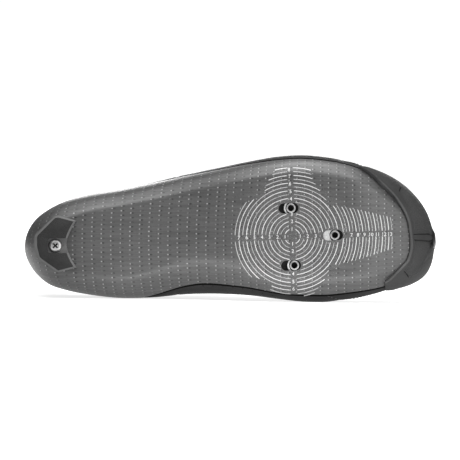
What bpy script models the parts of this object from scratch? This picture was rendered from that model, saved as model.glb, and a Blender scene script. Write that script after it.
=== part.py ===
"""A right-hand road cycling shoe: carbon tub, hollow upper, insole, tongue, three straps, rubber toe
and heel pieces, and three sliding cleat nuts. Metres, +Z up. The pieces are modelled standing, heel
at x = 0, toe along +X, the outer (lateral) side along -Y, the ball of the sole at z = 0. One empty
then lays the finished shoe on its inner (medial) side.
"""

import math

import bmesh
import bpy
import numpy as np
from mathutils import Matrix, Vector
from mathutils.geometry import intersect_point_tri

# Main sizes
LENGTH = 0.2784  # heel tip to the toe of the bare form, without its rubber cap
BALL_WIDTH = 0.1005  # widest stretch across the ball
INSTEP_HEIGHT = 0.098  # crown of the instep above the ball of the sole
GAP = 0.0003  # between two pieces that meet

# Sole line
HEEL_PAD_HEIGHT = 0.007
HEEL_TURN = 0.005  # how far the sole curls up at the back edge
HEEL_TURN_END = 0.10  # share of LENGTH
SEAT_END = 0.20  # the heel seat starts to come down here, as a share of LENGTH
ARCH_RISE = 0.006
ARCH_START = 0.14
ARCH_TOP = 0.36
FLAT_START = 0.59  # the flat under the ball, as shares of LENGTH
FLAT_END = 0.79
TOE_SPRING = 0.020
TOE_SPRING_POWER = 1.5
BULGE_HEIGHT = 0.030  # widest line of the sides above the sole
EDGE_BREADTH = 0.014  # rounding between the flat sole and its sides
RIM_HEIGHT = 0.040  # rim of the tub at the heel

# Walls
TUB_WALL = 0.0025
UPPER_WALL = 0.002
COLLAR_PADDING = 0.0030  # what the collar's foam adds to the wall
PADDING_END = 0.36  # share of LENGTH, from SEAT_END
BAND_SHARE = 0.35  # of the wall above the tub's rim that swells out to the form
INSOLE_THICKNESS = 0.003
TONGUE_THICKNESS = 0.0035
RUBBER = 0.0021
STRAP_THICKNESS = 0.0018

# Throat, collar and tongue
THROAT_TOP = 0.46
THROAT_FRONT = 0.69
THROAT_HALF_TOP = 0.015
THROAT_HALF_FRONT = 0.010
THROAT_ROUNDNESS = 6  # power of the round end of the throat
COLLAR_BLEND = 0.08
TONGUE_FRONT = 0.73
TONGUE_TOP = 0.385
TONGUE_HALF_WIDTH = 0.027
TONGUE_ROUNDING = 0.03  # share of LENGTH over which its top narrows
TONGUE_NARROWING = 0.65
TONGUE_CLEARANCE = 0.0015
STRAP_WIDTH = 0.022
STRAP_PLACES = {"strap_lower": 0.625, "strap_middle": 0.545, "strap_upper": 0.465}
STRAP_LATERAL_REACH = 0.036
STRAP_MEDIAL_REACH = 0.028
STRAP_ROUNDING = 0.010  # how far its corners are rounded back
STRAP_ROUNDNESS = 0.98

# Toe cap
TOE_REACH = 0.0155  # how far it comes under the sole at the tip
TOE_CAP_TOP = 0.0160  # its top edge above the sole, at the tip
NOSE_PROUD = 0.0013
NOSE_HALF_WIDTH = 0.006
NOSE_START = 0.45  # shares of the cap's height over which the nose swells out
NOSE_END = 0.75
PANEL_DEPTH = 0.0008
PANEL_MARGIN = 0.0024  # between a sunk panel and the cap's edge under the sole
PANEL_OUT = 0.0010  # between a sunk panel and the outline of the bare form

# Heel pad and its screw
PAD_START = 0.0082
PAD_LENGTH = 0.0276
PAD_SIDE = -0.0007
PAD_HALF_WIDTH = 0.0188
PAD_FRONT_HALF = 0.0161
PAD_HOLLOW = 0.0068  # depth of its hollow front edge
PAD_HOLLOW_POWER = 1.6
PAD_BEVEL = 0.0012
PAD_BLANK = 0.030  # height of the block that the tub's form is cut from
SCREW_X = 0.0214
SCREW_SIDE = -0.0018
SCREW_HEAD_RADIUS = 0.00425
SCREW_HEAD_HEIGHT = 0.0020
SCREW_DOME = 0.0006
SCREW_SHANK_RADIUS = 0.0019
SCREW_TIP = 0.0012  # stands this far above the tub's floor
SCREW_RECESS_LENGTH = 0.0050
SCREW_RECESS_WIDTH = 0.0011
SCREW_RECESS_DEPTH = 0.0011
POCKET_WIDTH = 0.0101
POCKET_DEPTH = 0.0040
POCKET_CORNER = 0.0018

# Cleat nuts and their slots: each slot's centre, ahead of the ball line and to the lateral side, how
# far ahead of it the nut stands, and how far the flange reaches behind and before the barrel's axis
BALL_AT = 0.70  # share of LENGTH
SLOT_LENGTH = 0.0135
SLOT_WIDTH = 0.0070
NUT_RADIUS = 0.0032
NUT_BORE_RADIUS = 0.00215
NUT_SUNK = 0.0003  # below the sole's surface
FLANGE_THICKNESS = 0.0016
CLEAT_TURN = math.radians(2.5)
CUT_THROUGH = 0.020  # length of a cutter past what it cuts
NUTS = (
    ("name", "ahead", "side", "nut", "back", "front"),
    ("cleat_nut_front", 0.0165, 0.0053, 0.0013, 0.0092, 0.0050),
    ("cleat_nut_rear_lateral", -0.0139, 0.0238, 0.0016, 0.0048, 0.0048),
    ("cleat_nut_rear_medial", -0.0122, -0.0154, 0.0023, 0.0048, 0.0048),
)
FLANGE_HALF_WIDTH = 0.0048

# Sampling
COLUMNS = 72  # round the outline
SOLE_ROWS = 3
WALL_ROWS = 5
BAND_ROWS = 2
UPPER_ROWS = 7
ROUND_STEPS = 24

# The middle line that the sections run to stops short of both ends
SPINE_HEEL = 0.155
SPINE_TOE = 0.86
BAND_LIMIT = 1.6  # the band's share is taken of the wall up to this way

# Side lines of the form at its widest height, as shares of BALL_WIDTH
OUTLINE = (
    ("share", "lateral", "medial"),
    (0.000, -0.025, -0.025),
    (0.012, 0.101, -0.144),
    (0.030, 0.168, -0.213),
    (0.060, 0.230, -0.281),
    (0.100, 0.285, -0.320),
    (0.160, 0.332, -0.353),
    (0.240, 0.370, -0.376),
    (0.320, 0.417, -0.371),
    (0.400, 0.470, -0.350),
    (0.480, 0.516, -0.347),
    (0.560, 0.561, -0.359),
    (0.620, 0.589, -0.380),
    (0.680, 0.600, -0.399),
    (0.740, 0.587, -0.402),
    (0.800, 0.552, -0.377),
    (0.860, 0.482, -0.342),
    (0.910, 0.401, -0.296),
    (0.950, 0.313, -0.250),
    (0.980, 0.212, -0.185),
    (1.000, 0.000, 0.000),
)

# Sides: bulge as shares of BULGE_HEIGHT, edge of EDGE_BREADTH, rim of RIM_HEIGHT
SIDES = (
    ("share", "bulge_lateral", "bulge_medial", "edge_lateral", "edge_medial", "rim_lateral", "rim_medial"),
    (0.00, 0.78, 0.78, 1.00, 1.00, 0.95, 0.95),
    (0.10, 0.76, 0.73, 1.00, 1.00, 0.92, 0.92),
    (0.18, 0.77, 0.70, 1.00, 1.00, 0.82, 0.86),
    (0.24, 0.79, 0.71, 1.00, 1.05, 0.70, 0.74),
    (0.32, 0.83, 0.80, 1.00, 1.50, 0.52, 0.40),
    (0.42, 0.87, 0.92, 1.00, 2.10, 0.42, 0.28),
    (0.52, 0.83, 0.87, 1.00, 1.90, 0.36, 0.27),
    (0.62, 0.76, 0.74, 1.05, 1.20, 0.29, 0.22),
    (0.72, 0.69, 0.66, 1.05, 1.35, 0.26, 0.19),
    (0.82, 0.61, 0.60, 1.00, 1.20, 0.24, 0.20),
    (0.92, 0.52, 0.50, 1.00, 1.00, 0.23, 0.22),
    (1.00, 0.45, 0.45, 1.00, 1.00, 0.22, 0.22),
)

# Middle line: ridge as shares of BALL_WIDTH to the lateral side, crown of INSTEP_HEIGHT, and the
# power that draws the sides in towards the crown
CROWN = (
    ("share", "ridge", "crown", "draw"),
    (0.155, -0.012, 1.45, 1.50),
    (0.240, -0.010, 1.35, 1.35),
    (0.340, -0.015, 1.17, 1.05),
    (0.420, -0.015, 1.00, 0.98),
    (0.500, 0.000, 0.86, 0.96),
    (0.600, 0.022, 0.715, 0.95),
    (0.700, 0.038, 0.61, 0.90),
    (0.800, 0.046, 0.545, 0.88),
    (0.860, 0.050, 0.52, 0.85),
)

# Corners of the heel pad from its inner side round the back: ahead as shares of PAD_LENGTH, side of
# PAD_HALF_WIDTH towards the lateral side
PAD_CORNERS = (
    ("ahead", "side"),
    (0.60, -0.985),
    (0.54, -1.00),
    (0.12, -0.57),
    (0.07, -0.49),
    (0.01, -0.16),
    (0.00, -0.08),
    (0.00, 0.24),
    (0.03, 0.34),
    (0.47, 0.95),
    (0.55, 1.00),
)

# Collar line above the ball of the sole, as shares of INSTEP_HEIGHT
COLLAR = (
    ("share", "height"),
    (0.00, 0.88),
    (0.05, 0.86),
    (0.12, 0.77),
    (0.20, 0.70),
    (0.28, 0.71),
    (0.36, 0.80),
    (0.46, 0.90),
)

# How far the toe cap comes under the sole, as shares of TOE_REACH, and its top, of TOE_CAP_TOP
TOE_CAP = (
    ("share", "lateral", "medial", "top"),
    (0.80, 0.10, 0.10, 0.45),
    (0.85, 0.26, 0.10, 0.60),
    (0.90, 0.45, 0.24, 0.76),
    (0.95, 0.70, 0.66, 0.90),
    (0.98, 0.90, 0.92, 0.98),
    (1.00, 1.00, 1.00, 1.00),
)
TOE_CAP_START = 26.0  # lateral end, in columns from the heel
TOE_CAP_END = 43.6  # medial end
PANELS = {"lateral": (29.7, 34.4), "medial": (36.1, 41.0)}


def column(table, name):
    place = table[0].index(name)
    return np.array([row[place] for row in table[1:]], float)


def rows_of(table):
    """Each row's name, with its values under their columns' names."""
    return [(row[0], dict(zip(table[0][1:], row[1:]))) for row in table[1:]]


def smooth_through(knots, values, at):
    """A cubic through the values, with each tangent taken from the neighbours."""
    slopes = np.gradient(values, knots)
    place = np.clip(np.searchsorted(knots, at, side="right") - 1, 0, len(knots) - 2)
    span = knots[place + 1] - knots[place]
    u = np.clip((at - knots[place]) / span, 0.0, 1.0)
    start = (2 * u**3 - 3 * u**2 + 1) * values[place] + (u**3 - 2 * u**2 + u) * span * slopes[place]
    end = (3 * u**2 - 2 * u**3) * values[place + 1] + (u**3 - u**2) * span * slopes[place + 1]
    return start + end


def along(table, name, share):
    """A column of a table at a share of the length."""
    return smooth_through(column(table, "share"), column(table, name), share)


def around(table, lateral, medial, angle):
    """Two columns read as one closed loop: lateral side from heel to toe, medial side back."""
    angles = np.arccos(1 - 2 * column(table, "share"))
    knots = np.concatenate([angles, 2 * math.pi - angles[-2:0:-1]])
    values = np.concatenate([column(table, lateral), column(table, medial)[-2:0:-1]])
    knots = np.concatenate([knots - 2 * math.pi, knots, knots + 2 * math.pi])
    return smooth_through(knots, np.tile(values, 3), np.mod(angle, 2 * math.pi))


def ramp(value, start, end):
    u = np.clip((value - start) / (end - start), 0.0, 1.0)
    return u * u * (3 - 2 * u)


def sole_line(x):
    """Height of the sole's underside above the ball, along the shoe."""
    share = x / LENGTH
    seat = (HEEL_PAD_HEIGHT + GAP) * (1 - ramp(share, SEAT_END, FLAT_START))
    arch = ARCH_RISE * ramp(share, ARCH_START, ARCH_TOP) * (1 - ramp(share, ARCH_TOP, FLAT_START))
    toe = TOE_SPRING * np.maximum((share - FLAT_END) / (1 - FLAT_END), 0.0) ** TOE_SPRING_POWER
    turn = HEEL_TURN * np.maximum(1 - share / HEEL_TURN_END, 0.0) ** 2
    return seat + arch + toe + turn


def section(angle):
    """Everything that a section's line depends on, at an angle round the outline."""
    share = (1 - np.cos(angle)) / 2
    middle = np.clip(share, SPINE_HEEL, SPINE_TOE)
    x = share * LENGTH
    side = around(OUTLINE, "lateral", "medial", angle) * BALL_WIDTH
    middle_side = along(CROWN, "ridge", middle) * BALL_WIDTH
    reach = np.hypot(x - middle * LENGTH, side - middle_side)
    bulge = around(SIDES, "bulge_lateral", "bulge_medial", angle) * BULGE_HEIGHT
    crown = along(CROWN, "crown", middle) * INSTEP_HEIGHT
    return {
        "share": share,
        "middle": middle * LENGTH,
        "middle_side": middle_side,
        "out_x": (x - middle * LENGTH) / reach,
        "out_side": (side - middle_side) / reach,
        "reach": reach,
        "bulge": bulge,
        "widest": sole_line(x) + bulge,
        "edge": around(SIDES, "edge_lateral", "edge_medial", angle) * EDGE_BREADTH,
        "crown": crown,
        "draw": along(CROWN, "draw", middle),
    }


def form(angle, way):
    """A point of the form. Along a section, way is -1 in the middle of the sole, 0 at the edge of its
    flat, 1 at the widest line and 2 on the crown."""
    s = section(angle)
    low = np.clip(way, 0, 1) * math.pi / 2
    high = np.clip(way - 1, 0, 1) * math.pi / 2
    flat = (s["reach"] - s["edge"]) * np.clip(1 + way, 0, 1)
    curved = s["reach"] - s["edge"] * (1 - np.sin(low))
    drawn = s["reach"] * np.maximum(np.cos(high), 0.0) ** s["draw"]
    radius = np.where(way < 0, flat, np.where(way <= 1, curved, drawn))
    radius = np.where(way > 2 - 1e-9, 0.0, radius)
    x = s["middle"] + s["out_x"] * radius
    side = s["middle_side"] + s["out_side"] * radius
    lower = sole_line(x) + s["bulge"] * (1 - np.cos(low))
    upper = s["widest"] + (s["crown"] - s["widest"]) * np.sin(high)
    return np.stack([x, -side, np.where(way <= 1, lower, upper)], -1)


def form_normal(angle, way):
    """The form's outward direction."""
    small = 1e-3
    across = form(angle + small, way) - form(angle - small, way)
    up = form(angle, np.minimum(way + small, 2.0)) - form(angle, way - small)
    wall = np.cross(across, up)
    point = form(angle, way)
    slope = (sole_line(point[..., 0] + small) - sole_line(point[..., 0] - small)) / (2 * small)
    under = np.stack([slope, 0 * slope, -1 + 0 * slope], -1)
    middle = section(angle)["middle"] / LENGTH
    fall = along(CROWN, "crown", middle + small) - along(CROWN, "crown", middle - small)
    fall = fall * INSTEP_HEIGHT / (2 * small * LENGTH)
    over = np.stack([-fall, 0 * fall, 1 + 0 * fall], -1)
    way = way[..., None]
    normal = np.where(way <= 0, under, np.where(way >= 2 - 1e-6, over, wall))
    return normal / np.linalg.norm(normal, axis=-1, keepdims=True)


def lattice(angles, ways, offset):
    """Rows of points on the form, each moved out along its normal by its offset."""
    angles = np.broadcast_to(angles, ways.shape)
    offset = np.broadcast_to(offset, ways.shape)
    return form(angles, ways) + form_normal(angles, ways) * offset[..., None]


def way_at_height(angle, height):
    """The way at which a section's side stands this high above the sole's underside."""
    s = section(angle)
    low = np.arccos(np.clip(1 - height / s["bulge"], 0, 1))
    high = np.arcsin(np.clip((height - s["bulge"]) / (s["crown"] - s["widest"]), 0, 1))
    return np.where(height <= s["bulge"], low, math.pi / 2 + high) / (math.pi / 2)


def way_in_from_side(angle, distance):
    """The way at which the underside is this far in from the outline."""
    s = section(angle)
    curved = np.arcsin(np.clip(1 - distance / s["edge"], 0, 1)) / (math.pi / 2)
    flat = -(distance - s["edge"]) / (s["reach"] - s["edge"])
    return np.where(distance < s["edge"], curved, flat)


def way_distance(angle, way):
    """How far in from the outline the underside is at a way."""
    s = section(angle)
    curved = s["edge"] * (1 - np.sin(np.clip(way, 0, 1) * math.pi / 2))
    return curved + np.maximum(-way, 0) * (s["reach"] - s["edge"])


def way_at_half_width(angle, half_width):
    """The way at which the crown is this wide on each side of the middle line."""
    s = section(angle)
    narrow = np.clip(half_width / s["reach"], 0, 1) ** (1 / s["draw"])
    return 1 + np.arccos(narrow) / (math.pi / 2)


def opening_way(angle):
    """The edge of collar and throat: a height at the collar, a half width along the throat."""
    s = section(angle)
    height = along(COLLAR, "height", np.minimum(s["share"], COLLAR[-1][0])) * INSTEP_HEIGHT
    rise = np.clip((height - s["widest"]) / (s["crown"] - s["widest"]), 0, 1)
    collar = 1 + np.arcsin(rise) / (math.pi / 2)
    down = np.clip((s["share"] - THROAT_TOP) / (THROAT_FRONT - THROAT_TOP), 0, 1)
    half = THROAT_HALF_TOP + (THROAT_HALF_FRONT - THROAT_HALF_TOP) * down
    half = half * np.sqrt(1 - down**THROAT_ROUNDNESS)
    throat = way_at_half_width(angle, half)
    share = ramp(s["share"], THROAT_TOP - COLLAR_BLEND, THROAT_TOP)
    return collar + (throat - collar) * share


def rows_between(start, end, count):
    """Rows of ways from one line to another, both included."""
    shares = np.linspace(0, 1, count + 1)[:, None]
    return start[None, :] + (end - start)[None, :] * shares


def material(name, colour, roughness, metallic=0.0):
    made = bpy.data.materials.new(name)
    made.use_nodes = True
    shader = made.node_tree.nodes["Principled BSDF"]
    shader.inputs["Base Color"].default_value = (*colour, 1.0)
    shader.inputs["Roughness"].default_value = roughness
    shader.inputs["Metallic"].default_value = metallic
    return made


def add_object(name, points, faces, finish):
    """An object from points and faces, with the points that fall together made one."""
    mesh = bpy.data.meshes.new(name)
    work = bmesh.new()
    corners = [work.verts.new(point) for point in points]
    for face in faces:
        work.faces.new([corners[i] for i in face])
    bmesh.ops.remove_doubles(work, verts=work.verts, dist=1e-6)
    loose = [vert for vert in work.verts if not vert.link_faces]
    bmesh.ops.delete(work, geom=loose, context="VERTS")
    work.to_mesh(mesh)
    work.free()
    made = bpy.data.objects.new(name, mesh)
    bpy.context.scene.collection.objects.link(made)
    mesh.materials.append(finish)
    mesh.shade_smooth()
    mesh.set_sharp_from_angle(angle=math.radians(40))
    return made


def skin_faces(rows, columns, closed, start, flip):
    """Triangles of a grid of points, all quads split along the same diagonal."""
    faces = []
    for row in range(rows - 1):
        for here in range(columns if closed else columns - 1):
            there = (here + 1) % columns
            a = start + row * columns + here
            b = start + row * columns + there
            c = start + (row + 1) * columns + there
            d = start + (row + 1) * columns + here
            faces += [(a, b, c), (a, c, d)]
    return [face[::-1] for face in faces] if flip else faces


def strip_faces(first, second, closed):
    """Triangles between two lines of points that run side by side."""
    faces = []
    for here in range(len(first) if closed else len(first) - 1):
        there = (here + 1) % len(first)
        faces += [(first[here], first[there], second[there]), (first[here], second[there], second[here])]
    return faces


def add_wall(name, outer, inner, closed, finish, first_edge=True, last_edge=None):
    """A solid between two grids of points. The outer grid faces out. An open edge gets its strip, and
    last_edge says for each column whether the last row is open there."""
    rows, columns = outer.shape[:2]
    count = rows * columns
    faces = skin_faces(rows, columns, closed, 0, False)
    faces += skin_faces(rows, columns, closed, count, True)
    lowest = list(range(columns))
    highest = list(range(count - columns, count))
    if first_edge:
        faces += strip_faces([i + count for i in lowest], lowest, closed)
    top = strip_faces(highest, [i + count for i in highest], closed)
    if last_edge is not None:
        keep = [last_edge[i] or last_edge[(i + 1) % columns] for i in range(columns)]
        top = [face for i, face in enumerate(top) if keep[i // 2]]
    faces += top
    if not closed:
        left = [row * columns for row in range(rows)]
        right = [row * columns + columns - 1 for row in range(rows)]
        faces += strip_faces([i + count for i in left][::-1], left[::-1], False)
        faces += strip_faces([i + count for i in right], right, False)
    points = np.concatenate([outer.reshape(-1, 3), inner.reshape(-1, 3)])
    live = [face for face in faces if not collapsed(points, face)]
    return add_object(name, points, live, finish)


def collapsed(points, face):
    a, b, c = (points[i] for i in face)
    shortest = min(np.abs(a - b).max(), np.abs(b - c).max(), np.abs(c - a).max())
    return shortest < 1e-6


def prism(name, outline, low, high, finish=None):
    """An upright solid over a closed outline of (x, y), anticlockwise seen from above."""
    count = len(outline)
    points = [(x, y, low) for x, y in outline] + [(x, y, high) for x, y in outline]
    faces = [tuple(range(count))[::-1], tuple(range(count, 2 * count))]
    for here in range(count):
        there = (here + 1) % count
        faces.append((here, there, there + count, here + count))
    return add_object(name, points, faces, finish)


def cut(target, cutter):
    """Takes the cutter's shape out of the target and hides the cutter."""
    modifier = target.modifiers.new("cut_" + cutter.name, "BOOLEAN")
    modifier.operation = "DIFFERENCE"
    modifier.solver = "EXACT"
    modifier.object = cutter
    cutter.hide_render = True
    cutter.display_type = "WIRE"


def arc(centre, radius, start, end, steps):
    """Points on an arc, both ends included, angles in degrees."""
    turns = np.radians(np.linspace(start, end, steps + 1))
    return [(centre[0] + radius * math.cos(a), centre[1] + radius * math.sin(a)) for a in turns]


def placed(outline, x, y, turn=0.0):
    """An outline turned about its own origin and moved to a place."""
    c, s = math.cos(turn), math.sin(turn)
    return [(x + px * c - py * s, y + px * s + py * c) for px, py in outline]


def stadium(back, front, radius):
    """A slot's outline: two half rounds about centres at -back and +front."""
    half = ROUND_STEPS // 2
    return arc((front, 0), radius, -90, 90, half) + arc((-back, 0), radius, 90, 270, half)


def make_tub(angles, ways, finish):
    rows = np.concatenate([ways["sole"][:-1], ways["wall"]])
    outer = lattice(angles, rows, 0.0)
    inner = lattice(angles, rows, -TUB_WALL)
    tub = add_wall("tub", outer, inner, True, finish, first_edge=False)
    hole = arc((0, 0), SCREW_SHANK_RADIUS + GAP, 0, 360, ROUND_STEPS)[:-1]
    screw_hole = prism("cutter_screw_hole", placed(hole, SCREW_X, -SCREW_SIDE), 0.0, CUT_THROUGH)
    cut(tub, screw_hole)
    half = (SLOT_LENGTH - SLOT_WIDTH) / 2
    for name, place in rows_of(NUTS):
        outline = stadium(half, half, SLOT_WIDTH / 2)
        slot = placed(outline, BALL_AT * LENGTH + place["ahead"], -place["side"], -CLEAT_TURN)
        cut(tub, prism("cutter_slot_" + name, slot, -CUT_THROUGH, CUT_THROUGH))


def make_upper(angles, ways, finish):
    wall = ways["wall"][1:]
    rows = np.concatenate([wall, ways["band"][1:], ways["upper"][1:]])
    sunk = TUB_WALL + GAP
    rising = sunk * (1 - ramp(np.arange(1, BAND_ROWS + 1), 0, BAND_ROWS))
    inset = np.concatenate([np.full(len(wall), sunk), rising, np.zeros(UPPER_ROWS)])
    inset = inset[:, None] + 0 * rows
    share = section(angles)["share"]
    near_edge = ramp(np.arange(1, UPPER_ROWS + 1), 1, 4)
    near_edge = np.concatenate([np.zeros(len(wall) + BAND_ROWS), near_edge])
    padding = COLLAR_PADDING * near_edge[:, None] * (1 - ramp(share, SEAT_END, PADDING_END))[None, :]
    outer = lattice(angles, rows, -inset)
    inner = lattice(angles, rows, -inset - UPPER_WALL - padding)
    is_open = rows[-1] < 2 - 1e-6
    add_wall("upper", outer, inner, True, finish, last_edge=is_open)


def make_insole(angles, ways, finish):
    rows = np.concatenate([ways["sole"][:-1], ways["wall"][:3]])
    under = -(TUB_WALL + GAP + UPPER_WALL + GAP)
    outer = lattice(angles, rows, under)
    inner = lattice(angles, rows, under - INSOLE_THICKNESS)
    add_wall("insole", outer, inner, True, finish, first_edge=False)


def across_crown(shares, lateral, medial, offset, steps):
    """A band over the crown: a row for each share of the length, running from the lateral to the
    medial side, with both reaches as half widths."""
    rows = []
    for share, out_lateral, out_medial in zip(shares, lateral, medial):
        angle = math.acos(1 - 2 * share)
        widths = np.linspace(-out_lateral, out_medial, steps + 1)
        side_angle = np.where(widths <= 0, angle, 2 * math.pi - angle)
        way = way_at_half_width(side_angle, np.abs(widths))
        rows.append(lattice(side_angle, np.where(np.abs(widths) < 1e-9, 2.0, way), offset))
    return np.array(rows)


def make_tongue(finish):
    shares = np.linspace(TONGUE_FRONT, TONGUE_TOP, 15)
    near_top = np.clip((TONGUE_TOP + TONGUE_ROUNDING - shares) / TONGUE_ROUNDING, 0, 1)
    half = TONGUE_HALF_WIDTH * np.sqrt(1 - (TONGUE_NARROWING * near_top) ** 2)
    under = -(UPPER_WALL + TONGUE_CLEARANCE)
    outer = across_crown(shares, half, half, under, 8)
    inner = across_crown(shares, half, half, under - TONGUE_THICKNESS, 8)
    add_wall("tongue", outer, inner, False, finish)


def make_strap(name, share, finish):
    half = STRAP_WIDTH / 2 / LENGTH
    shares = np.linspace(share + half, share - half, 5)
    spread = np.linspace(-1, 1, 5)
    rounded = STRAP_ROUNDING * (1 - np.sqrt(1 - (STRAP_ROUNDNESS * spread) ** 2))
    lateral = STRAP_LATERAL_REACH - rounded
    medial = np.full(5, STRAP_MEDIAL_REACH)
    outer = across_crown(shares, lateral, medial, 2 * GAP + STRAP_THICKNESS, 12)
    inner = across_crown(shares, lateral, medial, 2 * GAP, 12)
    add_wall(name, outer, inner, False, finish)


def columns_between(grid, start, end):
    """The columns of a grid from start to end, where an end may fall between two columns."""
    first, last = math.ceil(start), math.floor(end)
    parts = [grid[:, first : last + 1]]
    if first > start:
        share = first - start
        parts.insert(0, grid[:, first : first + 1] * (1 - share) + grid[:, first - 1 : first] * share)
    if end > last:
        share = end - last
        parts.append(grid[:, last : last + 1] * (1 - share) + grid[:, last + 1 : last + 2] * share)
    return np.concatenate(parts, axis=1)


def toe_cap_lines(angles):
    """The toe cap's edge under the sole and its top edge, as ways."""
    share = np.maximum(section(angles)["share"], 0.80)
    lateral = along(TOE_CAP, "lateral", share)
    medial = along(TOE_CAP, "medial", share)
    reach = np.where(angles <= math.pi, lateral, medial) * TOE_REACH
    top = along(TOE_CAP, "top", share) * TOE_CAP_TOP
    return way_in_from_side(angles, reach), way_at_height(angles, top)


def make_toe_cap(angles, finish):
    low, high = toe_cap_lines(angles)
    rows = rows_between(low, high, 7)
    side = section(angles)["out_side"] * section(angles)["reach"]
    nose = np.exp(-((side / NOSE_HALF_WIDTH) ** 4)) * (section(angles)["share"] > 0.9)
    rise = np.linspace(0, 1, 8)[:, None]
    proud = NOSE_PROUD * nose[None, :] * ramp(rise, NOSE_START, NOSE_END)
    outer = lattice(angles, rows, GAP + RUBBER + proud)
    inner = lattice(angles, rows, GAP)
    outer = columns_between(outer, TOE_CAP_START, TOE_CAP_END)
    inner = columns_between(inner, TOE_CAP_START, TOE_CAP_END)
    cap = add_wall("toe_bumper", outer, inner, False, finish)
    reach = np.maximum(way_distance(angles, low) - PANEL_MARGIN, 2 * PANEL_OUT)
    inmost = way_in_from_side(angles, reach)
    panel_rows = rows_between(inmost, way_in_from_side(angles, PANEL_OUT), 4)
    floor = lattice(angles, panel_rows, GAP + RUBBER - PANEL_DEPTH)
    above = lattice(angles, panel_rows, GAP + RUBBER + 2 * PANEL_DEPTH)
    for name, (start, end) in PANELS.items():
        over = columns_between(above, start, end)
        under = columns_between(floor, start, end)
        cut(cap, add_wall("cutter_panel_" + name, over, under, False, None))


def make_tub_form(angles, ways):
    """The tub's outside as one filled solid, a gap larger, for the pieces seated on it."""
    skin = lattice(angles, np.concatenate([ways["sole"][:-1], ways["wall"]]), GAP)
    lid = form(angles, np.full(COLUMNS, -1.0))
    lid[:, 2] = skin[:, :, 2].max()
    grid = np.concatenate([skin, lid[None]])
    points = grid.reshape(-1, 3)
    faces = skin_faces(len(grid), COLUMNS, True, 0, False)
    live = [face for face in faces if not collapsed(points, face)]
    return add_object("cutter_tub_form", points, live, None)


def make_heel_pad(tub_form, finish):
    front_x = PAD_START + PAD_LENGTH
    back = [(PAD_START + ahead * PAD_LENGTH, -side * PAD_HALF_WIDTH) for ahead, side in PAD_CORNERS[1:]]
    spread = np.linspace(-1, 1, 11)
    hollow = PAD_HOLLOW * (1 - np.abs(spread) ** PAD_HOLLOW_POWER)
    front = [(front_x - deep, PAD_FRONT_HALF * s) for deep, s in zip(hollow, spread)]
    outline = placed(back + front, 0.0, -PAD_SIDE)
    pad = prism("heel_pad", outline, 0.0, PAD_BLANK, finish)
    work = bmesh.new()
    work.from_mesh(pad.data)
    tread = min(work.faces, key=lambda face: face.calc_center_median().z)
    bmesh.ops.inset_region(work, faces=[tread], thickness=PAD_BEVEL, use_even_offset=True)
    tread.normal_update()
    for vert in work.verts:
        if vert.co.z < 1e-6 and vert not in tread.verts:
            vert.co.z = PAD_BEVEL
    work.to_mesh(pad.data)
    work.free()
    cut(pad, tub_form)
    half = POCKET_WIDTH / 2
    corner = POCKET_CORNER
    back_x = SCREW_X - half
    mouth = front_x + GAP
    outline = [(mouth, half)]
    outline += arc((back_x + corner, half - corner), corner, 90, 180, 4)
    outline += arc((back_x + corner, -half + corner), corner, 180, 270, 4)
    outline += [(mouth, -half)]
    pocket = prism("cutter_pocket", placed(outline, 0.0, -SCREW_SIDE), -CUT_THROUGH, POCKET_DEPTH)
    cut(pad, pocket)
    hole = arc((0, 0), SCREW_SHANK_RADIUS + GAP, 0, 360, ROUND_STEPS)[:-1]
    cut(pad, prism("cutter_pad_hole", placed(hole, SCREW_X, -SCREW_SIDE), POCKET_DEPTH / 2, CUT_THROUGH))


def turned(name, profile, x, y, finish):
    """A round solid from a profile of (radius, height), which starts and ends on the axis."""
    turns = np.linspace(0, 2 * math.pi, ROUND_STEPS, endpoint=False)
    points = [(x + r * math.cos(a), y + r * math.sin(a), z) for r, z in profile for a in turns]
    faces = skin_faces(len(profile), ROUND_STEPS, True, 0, False)
    array = np.array(points)
    live = [face for face in faces if not collapsed(array, face)]
    return add_object(name, points, live, finish)


def make_screw(finish):
    seat = POCKET_DEPTH - GAP
    under = seat - SCREW_HEAD_HEIGHT
    dome = SCREW_DOME
    top = float(sole_line(np.array(SCREW_X))) + TUB_WALL + SCREW_TIP
    r = SCREW_HEAD_RADIUS
    profile = [(0, under), (0.5 * r, under + 0.15 * dome), (0.85 * r, under + dome), (r, under + 2 * dome)]
    profile += [(r, seat), (SCREW_SHANK_RADIUS, seat), (SCREW_SHANK_RADIUS, top), (0, top)]
    screw = turned("heel_screw", profile, SCREW_X, -SCREW_SIDE, finish)
    length, width = SCREW_RECESS_LENGTH / 2, SCREW_RECESS_WIDTH / 2
    cross = [(length, -width), (length, width), (width, width)]
    cross += [(width, length), (-width, length), (-width, width)]
    cross += [(-x, -y) for x, y in cross]
    outline = placed(cross, SCREW_X, -SCREW_SIDE, math.radians(45))
    cut(screw, prism("cutter_recess", outline, -CUT_THROUGH, under + SCREW_RECESS_DEPTH))


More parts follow.
